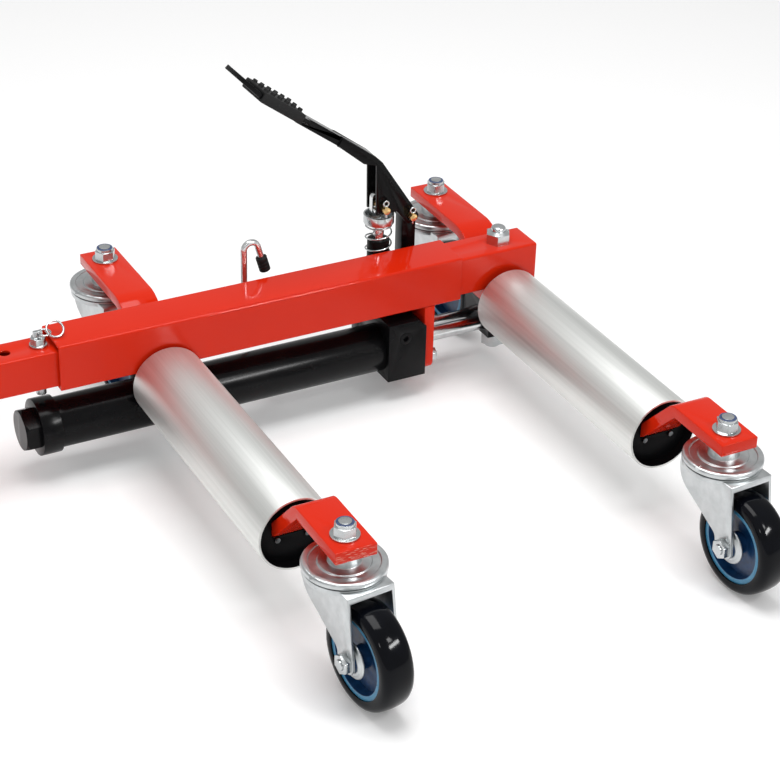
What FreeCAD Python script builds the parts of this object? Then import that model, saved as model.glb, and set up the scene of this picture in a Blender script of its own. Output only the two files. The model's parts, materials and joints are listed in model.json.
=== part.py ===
"""Vehicle positioning jack: a hydraulic wheel dolly on four casters.

A square main tube carries the left arm, the hydraulic cylinder, the foot pump and the lock bar.
The right arm slides in the main tube. Each arm carries a free roller, and a tyre sits between them.
Frame: X along the main tube, Y away from the operator's front side, Z up from the floor.
"""
import FreeCAD, Part
import math
import os
import re
import Sketcher

doc = FreeCAD.newDocument("positioning_jack")
sheet = doc.addObject("Spreadsheet::Sheet", "dims")

# Driving sizes in millimetres; angles in degrees; shares and counts without a unit.
SIZES = {
    # main tube, slide and roller lines
    "tube_size": 50, "tube_wall": 3, "tube_corner": 2.5, "tube_length": 450, "slide_reach": 57.6,
    "tube_centre_y": 169.5, "tube_top_z": 155, "left_line_x": -67.8, "roller_spacing": 396.4,
    "slide_gap": 0.3, "slide_wall": 3, "slide_inner_length": 261, "slide_overhang": 36.4,
    # arms and rear brackets, bent from flat bar
    "bar_width": 40, "bar_thick": 12, "bar_bend_radius": 4, "beam_depth": 22, "beam_setback": 41.5,
    "bracket_low_z": 93.5, "bracket_top_z": 150.4, "low_bend_setback": 12.5, "high_bend_reach": 37,
    "near_bolt_reach": 94.7, "far_bolt_y": 309.1, "bolt_to_end": 22.4, "rear_bend_radius": 26,
    "rear_leg_depth": 45,
    # rollers and their bushes
    "roller_radius": 38, "roller_wall": 2.5, "roller_length": 300, "roller_start_y": 140.5,
    "roller_axis_z": 92.1, "bush_length": 12, "bush_recess": 10, "bush_fit": 0.1, "bush_slot_gap": 0.15,
    "bush_slot_rise": 7, "bush_screw_radius": 2, "bush_screw_head": 2.8, "bush_screw_head_depth": 2,
    "bush_screw_x": 15, "bush_screw_drop": 8, "bush_screw_length": 9,
    # hydraulic cylinder
    "cylinder_axis_z": 56, "cylinder_radius": 26, "cylinder_wall": 3.5, "cylinder_overhang": 16,
    "collar_radius": 29.5, "collar_length": 21, "collar_floor": 6, "collar_fit": 0.05,
    "end_nut_flats": 41, "end_nut_length": 15, "end_nut_chamfer": 3,
    "piston_radius_fit": 0.06, "piston_length": 30, "rod_length": 393.6, "piston_groove": 3,
    "rod_radius": 8, "rod_fit": 0.08, "guide_radius": 6, "guide_offset_y": 33, "guide_drop": 6,
    "guide_length": 259.6, "crosshead_left": 14, "crosshead_right": 14, "crosshead_half": 14,
    "crosshead_back": 41, "rod_seat": 5, "seat_fit": 0.05,
    # pump block and the plate that holds it
    "block_setback": 88, "block_length": 45, "block_bottom_z": 27, "block_top_z": 95, "block_front": 30,
    "block_rear": 58, "block_rear_extra": 19, "block_chamfer": 9, "plate_gap": 0.3, "plate_thick": 12,
    "plate_half_width": 25, "plate_bottom_z": 28, "plate_round": 10, "block_bolt_radius": 4,
    "block_bolt_offset_y": 16, "block_bolt_drop": 15, "block_bolt_flats": 13, "block_bolt_head": 6.5,
    "block_bolt_reach": 18, "bolt_hole_gap": 0.2, "plug_radius": 7, "plug_depth": 8, "plug_drop": 19,
    "plug_socket_flats": 6, "plug_socket_depth": 4, "plug_left_share": 0.45,
    # foot pump
    "pump_offset_y": 44, "barrel_radius": 12, "barrel_base_radius": 17, "barrel_seat_z": 127,
    "barrel_top_z": 161, "barrel_floor": 5, "plunger_radius": 6, "plunger_fit": 0.08,
    "plunger_bottom_z": 130, "cup_radius": 16.5, "cup_wall": 2, "cup_floor_z": 181, "cup_floor": 3,
    "cup_depth": 7, "tongue_thick": 6, "tongue_left": 10, "tongue_right": 9, "tongue_rise": 15,
    "spring_radius": 13.8, "spring_wire": 1.9, "spring_seat_gap": 0.25, "spring_turns": 5.5,
    "spring_end_pitch": 2.6,
    # pedal
    "pivot_setback": 32.5, "pivot_z": 187, "link_offset_x": 32.5, "link_offset_z": 14, "pin_radius": 4,
    "pin_fit": 0.06, "pin_overhang": 7, "link_slot_gap": 0.4, "link_slot_run": 3.4, "post_width": 16,
    "post_thick": 16, "pedal_plate_thick": 3, "pedal_plate_gap": 1, "pedal_rise": 76,
    "pedal_heel_round": 5, "arm_angle": 36, "arm_thick": 10, "arm_bare_length": 106,
    "foot_plate_thick": 5, "foot_plate_width": 40, "foot_overlap": 8, "toe_gap": 2,
    "toe_length": 27, "toe_angle": 10, "pad_clear": 2, "pad_length": 55, "pad_over": 3, "pad_under": 3,
    "pad_side": 2.5, "pad_fit": 0.1, "stud_radius": 3, "stud_height": 3, "stud_rows": 6, "stud_columns": 3,
    "clip_eye": 3, "clip_wire": 0.9, "clip_inset": 3, "clip_gap": 0.1, "clip_tail": 4, "clip_neck": 0.6,
    # release lever
    "release_z": 75, "release_radius": 3.5, "release_reach": 134, "release_bend": 12,
    "release_straight_z": 179.5,
    "release_hook_radius": 8, "release_tail": 30, "tail_lean": 16, "release_seat": 12,
    "grip_radius": 6, "grip_length": 16, "grip_fit": 0.05, "grip_floor": 1.5, "grip_rib": 2, "grip_groove": 0.8,
    # lock bar and pin
    "lock_bar_size": 39.4, "lock_bar_wall": 3, "lock_bar_corner": 2, "lock_bar_out": 185.1,
    "lock_bar_in": 130, "lock_hole_radius": 5.5, "lock_hole_first": 12.5, "lock_hole_pitch": 34.5,
    "lock_hole_count": 5, "cap_thick": 3, "cap_plug": 12, "cap_fit": 0.1, "lock_pin_radius": 5.3,
    "lock_pin_below": 14.3, "pin_flange_radius": 9, "pin_flange": 2.5, "pin_head_flats": 14,
    "pin_head_height": 7, "pin_tab_width": 9, "pin_tab_thick": 4, "pin_tab_height": 7, "pin_tab_hole": 2,
    "ring_radius": 6.5, "ring_wire": 0.9, "big_ring_radius": 8.5, "big_ring_wire": 1.1, "ring_lean": 40,
    "big_ring_right": 18, "big_ring_up": 1.5,
    # arm bolt
    "arm_bolt_radius": 8, "arm_bolt_flats": 24, "arm_bolt_head": 11, "arm_bolt_dome": 3, "arm_nut_height": 13,
    "arm_bolt_tail": 4, "arm_bolt_gap": 0.25,
    # casters
    "wheel_radius": 51, "wheel_width": 32, "tyre_round": 8, "tyre_bore_gap": 0.05, "rim_radius": 38.5,
    "rim_width": 29, "rim_ring": 5, "rim_web": 9, "hub_radius": 11, "hub_width": 41.2, "axle_radius": 5,
    "axle_fit": 0.06, "axle_flats": 17, "axle_nut": 6.5, "axle_head": 6.5, "axle_tail": 1.5, "trail": 42,
    "fork_inner": 42, "fork_sheet": 3, "fork_top_z": 117, "fork_crown": 6, "fork_foot_round": 9,
    "fork_foot_drop": 11, "fork_foot_half": 12, "fork_shoulder": 27, "fork_back_round": 26,
    "fork_waist_rise": 7, "fork_waist_run": 3, "fork_waist_round": 8,
    "crown_radius": 37.5, "crown_bottom_z": 113, "crown_flange_z": 118,
    "head_radius": 38.5, "head_hub_radius": 15, "head_top_z": 125, "head_bottom_z": 119.5, "head_skirt": 2.5,
    "head_ceiling": 3, "head_lip": 2.5, "head_groove_outer": 32, "head_groove_inner": 24,
    "head_groove": 1.2, "swivel_gap": 0.3, "stem_radius": 6, "stem_gap": 0.2,
    "stem_flats": 18, "stem_head": 7.5, "nut_flange_radius": 13.5, "nut_flange": 2, "nut_flats": 19,
    "nut_height": 9, "nut_collar_radius": 8.5, "nut_collar": 3, "stem_proud": 1,
    "near_left_heading": 6, "near_right_heading": 4, "far_left_heading": 5, "far_right_heading": 5,
    # one overrun for every cut
    "overrun": 5,
}
for row, (alias, size) in enumerate(SIZES.items(), start=1):
    sheet.set(f"A{row}", alias)
    sheet.set(f"B{row}", str(size))
    sheet.setAlias(f"B{row}", alias)
doc.recompute()

# Places that follow from the driving sizes.
PLACES = {
    "crown_low_z": "fork_top_z - fork_crown",
    "bracket_bottom_z": "bracket_top_z - bar_thick",
    "tube_bottom_z": "tube_top_z - tube_size",
    "tube_mid_z": "tube_top_z - tube_size / 2",
    "slide_size": "tube_size - 2 * tube_wall - 2 * slide_gap",
    "slide_bottom_z": "tube_mid_z - slide_size / 2",
    "slide_top_z": "tube_mid_z + slide_size / 2",
    "roller_end_y": "roller_start_y - roller_length",
    "beam_end_y": "roller_end_y + beam_setback",
    "low_bend_y": "roller_end_y + low_bend_setback",
    "high_bend_y": "roller_end_y - high_bend_reach",
    "near_bolt_y": "roller_end_y - near_bolt_reach",
    "right_line_x": "left_line_x + roller_spacing",
    "tube_right_x": "right_line_x - slide_reach",
    "tube_left_x": "tube_right_x - tube_length",
    "slide_left_x": "tube_right_x - slide_inner_length",
    "cylinder_left_x": "tube_left_x - cylinder_overhang",
    "crosshead_low_x": "right_line_x - crosshead_left",
    "crosshead_bottom_z": "cylinder_axis_z - crosshead_half",
    "crosshead_top_z": "slide_bottom_z - beam_depth",
    "rod_end_x": "crosshead_low_x + rod_seat",
    "piston_x": "rod_end_x - rod_length + piston_length / 2",
    "guide_left_x": "rod_end_x - guide_length",
    "block_left_x": "tube_right_x - block_setback",
    "block_right_x": "block_left_x + block_length",
    "block_front_y": "tube_centre_y - block_front",
    "block_rear_y": "tube_centre_y + block_rear",
    "plate_right_x": "block_right_x + plate_thick",
    "plate_back_y": "tube_centre_y + plate_half_width",
    "pump_axis_y": "tube_centre_y + pump_offset_y",
    "pump_axis_x": "pivot_x - link_offset_x",
    "pivot_x": "tube_right_x - pivot_setback",
    "link_z": "pivot_z + link_offset_z",
    "cup_seat_z": "cup_floor_z + cup_floor",
    "cup_top_z": "cup_seat_z + cup_depth",
    "side_inner": "post_thick / 2 + pedal_plate_gap",
    "foot_plate_start": "arm_bare_length - foot_overlap",
    "pad_start": "arm_bare_length + pad_clear",
    "pad_end": "pad_start + pad_length",
    "foot_bend": "pad_end + toe_gap",
    "release_x": "block_left_x - release_reach",
    "lock_bar_left_x": "tube_left_x - lock_bar_out",
    "lock_bar_right_x": "tube_left_x + lock_bar_in",
    "lock_bar_bottom_z": "tube_bottom_z + tube_wall + slide_gap",
    "lock_bar_mid_z": "lock_bar_bottom_z + lock_bar_size / 2",
    "lock_bar_top_z": "lock_bar_bottom_z + lock_bar_size",
    "fork_outer": "fork_inner + 2 * fork_sheet",
}

# Side plate of the pedal: corner points from the pivot, as shares of the rise from pivot to knee.
PEDAL_SIDE_SHARES = [
    (-0.546, 0.105), (-0.230, 0.105), (-0.05, -0.135), (0.16, -0.06), (-0.467, 0.895),
    (-0.572, 1.0), (-1.079, 1.368), (-1.157, 1.262), (-0.757, 0.924), (-0.559, 0.863),
]
# Side of the caster fork: places along the wheel's path, as shares of the crown radius.
FORK_BACK_SHARE = 0.85
FORK_FRONT_SHARE = 1.12

nodes = []


def fx(text):
    """Turn a sum of size and place names into an expression on the sheet."""
    def spelled(match):
        name = match.group(0)
        return f"({fx(PLACES[name])})" if name in PLACES else "dims." + name

    return re.sub(r"[a-z][a-z0-9]*(?:_[a-z0-9]+)+|overrun|trail", spelled, text)


def num(text):
    """The present value of a sum of size names."""
    return float(sheet.evalExpression(fx(text)))


def bind(item, **links):
    """Tie properties of an item to the sheet."""
    for prop, text in links.items():
        item.setExpression(prop, fx(text))


def place(item, x="0", y="0", z="0", turn=None, axis=(0, 0, 1)):
    if turn is not None:
        item.Placement = FreeCAD.Placement(FreeCAD.Vector(), FreeCAD.Rotation(FreeCAD.Vector(*axis), num(turn)))
        item.setExpression("Placement.Rotation.Angle", fx(turn))
    for letter, text in zip("xyz", (x, y, z)):
        item.setExpression(f"Placement.Base.{letter}", fx(text))
    return item


def node(item):
    """Keep an item as a sub-part of the object under its own label."""
    nodes.append(item)
    return item


def box(name, x, y, z):
    """A block between two places along each axis."""
    item = doc.addObject("Part::Box", name)
    bind(item, Length=f"({x[1]}) - ({x[0]})", Width=f"({y[1]}) - ({y[0]})", Height=f"({z[1]}) - ({z[0]})")
    return place(item, x[0], y[0], z[0])


TURNS = {"x": ((0, 1, 0), 90), "y": ((1, 0, 0), -90), "z": ((0, 0, 1), 0)}


def along(axis, low, centre):
    """Base point of a round piece that starts at low on its axis; centre gives the other two places."""
    spots = list(centre)
    spots.insert("xyz".index(axis), low)
    return spots


def rod(name, axis, radius, low, high, centre):
    """A round bar along one axis."""
    item = doc.addObject("Part::Cylinder", name)
    direction, angle = TURNS[axis]
    item.Placement = FreeCAD.Placement(FreeCAD.Vector(), FreeCAD.Rotation(FreeCAD.Vector(*direction), angle))
    bind(item, Radius=radius, Height=f"({high}) - ({low})")
    return place(item, *along(axis, low, centre))


def hexagon(name, axis, flats, low, high, centre):
    """A hexagonal prism along one axis, given its width across flats."""
    item = doc.addObject("Part::Prism", name)
    item.Polygon = 6
    direction, angle = TURNS[axis]
    item.Placement = FreeCAD.Placement(FreeCAD.Vector(), FreeCAD.Rotation(FreeCAD.Vector(*direction), angle))
    bind(item, Circumradius=f"({flats}) / 2 / cos(30 deg)", Height=f"({high}) - ({low})")
    return place(item, *along(axis, low, centre))


def cone(name, axis, wide, narrow, low, high, centre):
    item = doc.addObject("Part::Cone", name)
    direction, angle = TURNS[axis]
    item.Placement = FreeCAD.Placement(FreeCAD.Vector(), FreeCAD.Rotation(FreeCAD.Vector(*direction), angle))
    bind(item, Radius1=wide, Radius2=narrow, Height=f"({high}) - ({low})")
    return place(item, *along(axis, low, centre))


def ring(name, radius, wire, x, y, z, axis, angle, sweep=360):
    """A round wire bent to a ring or part of one, tipped about one axis."""
    item = doc.addObject("Part::Torus", name)
    item.Angle3 = sweep
    item.Placement = FreeCAD.Placement(FreeCAD.Vector(), FreeCAD.Rotation(FreeCAD.Vector(*axis), angle))
    bind(item, Radius1=radius, Radius2=wire)
    return place(item, x, y, z)


def fuse(name, *items):
    item = doc.addObject("Part::MultiFuse", name)
    item.Shapes = list(items)
    item.Refine = True
    return item


def cut(name, base, *tools):
    item = doc.addObject("Part::Cut", name)
    item.Base = base
    item.Tool = tools[0] if len(tools) == 1 else fuse(name + "_tools", *tools)
    return item


def common(name, first, second):
    item = doc.addObject("Part::Common", name)
    item.Base = first
    item.Tool = second
    return item


def group(name, *items):
    """Like pieces that share a sub-part as separate solids."""
    item = doc.addObject("Part::Compound", name)
    item.Links = list(items)
    return item


def sketch_outline(body, plane, corners):
    """A closed outline on one of the body's origin planes, every corner tied to the sheet."""
    sketch = body.newObject("Sketcher::SketchObject", body.Name + "_outline")
    support = next(f for f in body.Origin.OriginFeatures if f.Role == plane)
    sketch.AttachmentSupport = [(support, "")]
    sketch.MapMode = "FlatFace"
    points = [FreeCAD.Vector(num(c[0]), num(c[1]), 0) for c in corners]
    count = len(points)
    for i in range(count):
        sketch.addGeometry(Part.LineSegment(points[i], points[(i + 1) % count]), False)
    for i in range(count):
        sketch.addConstraint(Sketcher.Constraint("Coincident", i, 2, (i + 1) % count, 1))
    for i, corner in enumerate(corners):
        for kind, letter, value, text in (
            ("DistanceX", "x", points[i].x, corner[0]),
            ("DistanceY", "y", points[i].y, corner[1]),
        ):
            index = sketch.addConstraint(Sketcher.Constraint(kind, -1, 1, i, 1, value))
            sketch.renameConstraint(index, f"{letter}{i}")
            sketch.setExpression(f"Constraints.{letter}{i}", fx(text))
    return sketch


def round_edges(body, pick, radius, suffix):
    """Fillet the edges of the body's last feature that pick accepts."""
    doc.recompute()
    base = body.Tip
    names = [f"Edge{i}" for i, edge in enumerate(base.Shape.Edges, start=1) if pick(edge)]
    fillet = body.newObject("PartDesign::Fillet", f"{body.Name}_{suffix}")
    fillet.Base = (base, names)
    bind(fillet, Radius=radius)
    body.Tip = fillet


def near(value, text):
    return abs(value - num(text)) < 1e-4


PLANE_AXES = {"XY_Plane": "xyz", "XZ_Plane": "xzy", "YZ_Plane": "yzx"}


def profile(name, plane, corners, width, offset="0"):
    """A plate or bar: an outline padded evenly to both sides, with a radius at any corner that has one."""
    body = doc.addObject("PartDesign::Body", name)
    sketch = sketch_outline(body, plane, corners)
    pad = body.newObject("PartDesign::Pad", name + "_pad")
    pad.Profile = sketch
    pad.SideType = "Symmetric"
    bind(pad, Length=width)
    first, second, normal = PLANE_AXES[plane]

    for i, corner in enumerate(corners):
        if len(corner) < 3:
            continue

        def at_corner(edge, corner=corner):
            ends = [v.Point for v in edge.Vertexes]
            return len(ends) == 2 and all(
                near(getattr(p, first), corner[0]) and near(getattr(p, second), corner[1]) for p in ends)

        round_edges(body, at_corner, corner[2], f"corner{i}")
    return place(body, **{normal: offset})


def turned(name, axis, corners, rounds=()):
    """A turned piece about its own X, Y or Z axis; corners are (place along the axis, radius)."""
    body = doc.addObject("PartDesign::Body", name)
    plane = "XY_Plane" if axis == "y" else "XZ_Plane"
    points = corners if axis == "x" else [(radius, spot) for spot, radius in corners]
    sketch = sketch_outline(body, plane, points)
    spin = body.newObject("PartDesign::Revolution", name + "_spin")
    spin.Profile = sketch
    spin.ReferenceAxis = (sketch, ["H_Axis" if axis == "x" else "V_Axis"])
    spin.Angle = 360
    for i, (spot, radius, size) in enumerate(rounds):

        def at_ring(edge, spot=spot, radius=radius):
            curve = edge.Curve
            return hasattr(curve, "Radius") and near(curve.Radius, radius) and near(
                getattr(curve.Center, axis), spot)

        round_edges(body, at_ring, size, f"round{i}")
    return body


def square_tube(name, size, wall, corner, low, high, centre_y, centre_z):
    """A square tube along X with rounded corners outside and inside."""
    shells = []
    for part, width, edge in (("outer", size, corner), ("inner", f"({size}) - 2 * {wall}", f"{corner} / 2")):
        half = f"({width}) / 2"
        spots = [(f"{centre_y} - {half}", f"{centre_z} - {half}", edge),
                 (f"{centre_y} + {half}", f"{centre_z} - {half}", edge),
                 (f"{centre_y} + {half}", f"{centre_z} + {half}", edge),
                 (f"{centre_y} - {half}", f"{centre_z} + {half}", edge)]
        extra = "0" if part == "outer" else "2 * overrun"
        shells.append(profile(f"{name}_{part}", "YZ_Plane", spots, f"({high}) - ({low}) + {extra}",
                              f"(({low}) + ({high})) / 2"))
    return cut(name, *shells)


# The fixed left arm and the sliding right arm
ARMS = {"left": "left_line_x", "right": "right_line_x"}
BEAM_TOPS = {"left": "tube_bottom_z", "right": "slide_bottom_z"}
BACK_FACES = {"left": "(tube_centre_y + tube_size / 2)", "right": "(tube_centre_y + slide_size / 2)"}

# Main tube and the slide tube that runs in it
node(square_tube("main_tube", "tube_size", "tube_wall", "tube_corner", "tube_left_x", "tube_right_x",
                 "tube_centre_y", "tube_mid_z"))
slide = square_tube("slide_tube_bare", "slide_size", "slide_wall", "tube_corner",
                    "tube_right_x - slide_inner_length", "right_line_x + slide_overhang",
                    "tube_centre_y", "tube_mid_z")
node(cut("slide_tube", slide,
         rod("slide_bolt_hole", "z", "arm_bolt_radius + arm_bolt_gap", "slide_bottom_z - overrun",
             "slide_top_z + overrun", ("right_line_x", "tube_centre_y"))))


def arm(side):
    """Axle beam and caster bracket, one bent bar: under the tube, through the roller and up to the caster."""
    top = BEAM_TOPS[side]
    centre = "bracket_low_z"
    rise = "(bracket_top_z - bar_thick / 2 - bracket_low_z)"
    run = "(low_bend_y - high_bend_y)"
    shift = f"(bar_thick / 2 * tan(atan({rise} / {run}) / 2))"
    outer = "bar_bend_radius + bar_thick"
    corners = [
        (BACK_FACES[side], top),
        (BACK_FACES[side], f"{top} - beam_depth"),
        ("beam_end_y", f"{top} - beam_depth"),
        ("beam_end_y", f"{centre} - bar_thick / 2"),
        (f"low_bend_y - {shift}", f"{centre} - bar_thick / 2", outer),
        (f"high_bend_y - {shift}", "bracket_bottom_z", "bar_bend_radius"),
        ("near_bolt_y - bolt_to_end", "bracket_bottom_z"),
        ("near_bolt_y - bolt_to_end", "bracket_top_z"),
        (f"high_bend_y + {shift}", "bracket_top_z", outer),
        (f"low_bend_y + {shift}", f"{centre} + bar_thick / 2", "bar_bend_radius"),
        ("beam_end_y", f"{centre} + bar_thick / 2"),
        ("beam_end_y", top),
    ]
    bar = profile(f"{side}_arm_bar", "YZ_Plane", corners, "bar_width", ARMS[side])
    holes = [rod(f"{side}_arm_stem_hole", "z", "stem_radius + stem_gap", "bracket_bottom_z - overrun",
                 "bracket_top_z + overrun", (ARMS[side], "near_bolt_y"))]
    if side == "right":
        holes.append(rod("right_arm_bolt_hole", "z", "arm_bolt_radius + arm_bolt_gap",
                         f"{top} - beam_depth - overrun", f"{top} + overrun",
                         ("right_line_x", "tube_centre_y")))
    return cut(f"{side}_arm", bar, *holes)


def rear_bracket(side):
    """Bent flat bar on the back of the tube, level with the near bracket."""
    back = BACK_FACES[side]
    corners = [
        (back, "bracket_top_z - rear_leg_depth"),
        (f"{back} + bar_thick", "bracket_top_z - rear_leg_depth"),
        (f"{back} + bar_thick", "bracket_bottom_z", "rear_bend_radius"),
        ("far_bolt_y + bolt_to_end", "bracket_bottom_z"),
        ("far_bolt_y + bolt_to_end", "bracket_top_z"),
        (back, "bracket_top_z", "rear_bend_radius + bar_thick"),
    ]
    bar = profile(f"{side}_rear_bar", "YZ_Plane", corners, "bar_width", ARMS[side])
    hole = rod(f"{side}_rear_hole", "z", "stem_radius + stem_gap", "bracket_bottom_z - overrun",
               "bracket_top_z + overrun", (ARMS[side], "far_bolt_y"))
    return cut(f"{side}_rear_bracket", bar, hole)


def roller(side):
    """Thin-walled aluminium tube that turns freely on two bushes."""
    end = "(roller_start_y - roller_length)"
    wall = [(end, "roller_radius - roller_wall"), (end, "roller_radius"),
            ("roller_start_y", "roller_radius"), ("roller_start_y", "roller_radius - roller_wall")]
    tube = turned(f"{side}_roller", "y", wall)
    return place(tube, x=ARMS[side], z="roller_axis_z")


def bushes(side):
    """Black end bushes on the bar, each with a slot of the bar's own section."""
    line = ARMS[side]
    outer = "(roller_radius - roller_wall - bush_fit)"
    front = "(roller_start_y - roller_length + bush_recess)"
    back = "(roller_start_y - bush_recess - bush_length)"
    wide = (f"{line} - bar_width / 2 - bush_slot_gap", f"{line} + bar_width / 2 + bush_slot_gap")
    bar_low = "(bracket_low_z - bar_thick / 2 - bush_slot_gap)"
    beam_low = f"({BEAM_TOPS[side]} - beam_depth - bush_slot_gap)"
    slots = {"front": (bar_low, "bracket_low_z + bar_thick / 2 + bush_slot_rise"),
             "back": (beam_low, f"{BEAM_TOPS[side]} + bush_slot_gap")}
    pair = []
    for end, start in (("front", front), ("back", back)):
        disc = rod(f"{side}_{end}_disc", "y", outer, start, f"{start} + bush_length", (line, "roller_axis_z"))
        slot = box(f"{side}_{end}_slot", wide, (f"{start} - overrun", f"{start} + bush_length + overrun"),
                   slots[end])
        tools = [slot]
        if end == "front":
            tools += [rod(f"{side}_screw_hole_{hand}", "y", "bush_screw_radius + seat_fit",
                          f"{start} - overrun",
                          f"{start} + bush_screw_length", (f"{line} {sign} bush_screw_x",
                                                           "roller_axis_z - bush_screw_drop"))
                      for hand, sign in (("a", "-"), ("b", "+"))]
        pair.append(cut(f"{side}_{end}_bush", disc, *tools))
    return group(f"{side}_roller_bushes", *pair)


def bush_screws(side):
    """Two pan-head screws in the face of the near bush."""
    face = "(roller_start_y - roller_length + bush_recess)"
    pair = []
    for hand, sign in (("a", "-"), ("b", "+")):
        spot = (f"{ARMS[side]} {sign} bush_screw_x", "roller_axis_z - bush_screw_drop")
        head = rod(f"{side}_screw_head_{hand}", "y", "bush_screw_head", f"{face} - bush_screw_head_depth",
                   face, spot)
        shank = rod(f"{side}_screw_shank_{hand}", "y", "bush_screw_radius", face,
                    f"{face} + bush_screw_length", spot)
        pair.append(fuse(f"{side}_screw_{hand}", head, shank))
    return group(f"{side}_bush_screws", *pair)


for side in ARMS:
    node(arm(side))
    node(rear_bracket(side))
    node(roller(side))
    node(bushes(side))
    node(bush_screws(side))

# Hydraulic cylinder: tube, collar cap and hexagonal end nut on one axis under the main tube
axis_spot = ("tube_centre_y", "cylinder_axis_z")
tube_outer = rod("cylinder_outer", "x", "cylinder_radius", "cylinder_left_x", "block_left_x", axis_spot)
tube_bore = rod("cylinder_bore", "x", "cylinder_radius - cylinder_wall", "cylinder_left_x - overrun",
                "block_left_x + overrun", axis_spot)
node(cut("cylinder_tube", tube_outer, tube_bore))
collar_left = "(cylinder_left_x - collar_floor)"
collar = rod("collar_solid", "x", "collar_radius", collar_left, f"{collar_left} + collar_length", axis_spot)
collar_bore = rod("collar_bore", "x", "cylinder_radius + collar_fit", "cylinder_left_x",
                  f"{collar_left} + collar_length + overrun", axis_spot)
node(cut("cylinder_collar", collar, collar_bore))
end_left = f"({collar_left} - end_nut_length)"
end_hexagon = hexagon("end_nut_hexagon", "x", "end_nut_flats", end_left, collar_left, axis_spot)
end_cone = cone("end_nut_cone", "x", "end_nut_flats / 2", "end_nut_flats / 2 + 2 * end_nut_length",
                end_left, f"{end_left} + 2 * end_nut_length", axis_spot)
node(common("cylinder_end_nut", end_hexagon, end_cone))

# Piston, rod, guide rod and the crosshead that the arm bolt ties to the slide
piston = rod("piston_solid", "x", "cylinder_radius - cylinder_wall - piston_radius_fit",
             "piston_x - piston_length / 2", "piston_x + piston_length / 2", axis_spot)
groove_ring = rod("piston_groove_outer", "x", "cylinder_radius", "piston_x - piston_groove / 2",
                  "piston_x + piston_groove / 2", axis_spot)
groove_core = rod("piston_groove_core", "x", "cylinder_radius - cylinder_wall - piston_groove",
                  "piston_x - piston_groove", "piston_x + piston_groove", axis_spot)
rod_seat_bore = rod("piston_rod_bore", "x", "rod_radius + seat_fit", "piston_x - piston_length / 2 - overrun",
                    "piston_x + piston_length / 2 + overrun", axis_spot)
node(cut("piston", piston, cut("piston_groove_cut", groove_ring, groove_core), rod_seat_bore))
node(rod("piston_rod", "x", "rod_radius", "piston_x - piston_length / 2", "rod_end_x", axis_spot))
guide_spot = ("tube_centre_y + guide_offset_y", "cylinder_axis_z - guide_drop")
node(rod("guide_rod", "x", "guide_radius", "guide_left_x", "rod_end_x", guide_spot))
crosshead = box("crosshead_solid", ("crosshead_low_x", "right_line_x + crosshead_right"),
                ("tube_centre_y - crosshead_half", "tube_centre_y + crosshead_back"),
                ("crosshead_bottom_z", "crosshead_top_z"))
crosshead_bores = [
    rod("crosshead_rod_seat", "x", "rod_radius + seat_fit", "crosshead_low_x - overrun",
        "rod_end_x", axis_spot),
    rod("crosshead_guide_seat", "x", "guide_radius + seat_fit", "crosshead_low_x - overrun",
        "rod_end_x", guide_spot),
    rod("crosshead_bolt_hole", "z", "arm_bolt_radius + arm_bolt_gap", "crosshead_bottom_z - overrun",
        "crosshead_top_z + overrun", ("right_line_x", "tube_centre_y")),
]
node(cut("crosshead", crosshead, *crosshead_bores))

# Arm bolt: long bolt from the top of the slide down through the beam and the crosshead, with its nut
bolt_spot = ("right_line_x", "tube_centre_y")
bolt_shank = rod("arm_bolt_shank", "z", "arm_bolt_radius",
                 "crosshead_bottom_z - arm_nut_height - arm_bolt_tail",
                 "slide_top_z", bolt_spot)
bolt_head = hexagon("arm_bolt_hexagon", "z", "arm_bolt_flats", "slide_top_z", "slide_top_z + arm_bolt_head",
                    bolt_spot)
bolt_dome = cone("arm_bolt_top", "z", "arm_bolt_flats / 2", "arm_bolt_flats / 2 - arm_bolt_dome",
                 "slide_top_z + arm_bolt_head", "slide_top_z + arm_bolt_head + arm_bolt_dome", bolt_spot)
arm_nut = cut("arm_nut", hexagon("arm_nut_hexagon", "z", "arm_bolt_flats",
                                 "crosshead_bottom_z - arm_nut_height",
                                 "crosshead_bottom_z", bolt_spot),
              rod("arm_nut_bore", "z", "arm_bolt_radius + seat_fit",
                  "crosshead_bottom_z - arm_nut_height - overrun", "crosshead_bottom_z + overrun", bolt_spot))
node(group("arm_bolt", fuse("arm_bolt_solid", bolt_shank, bolt_head, bolt_dome), arm_nut))

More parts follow.
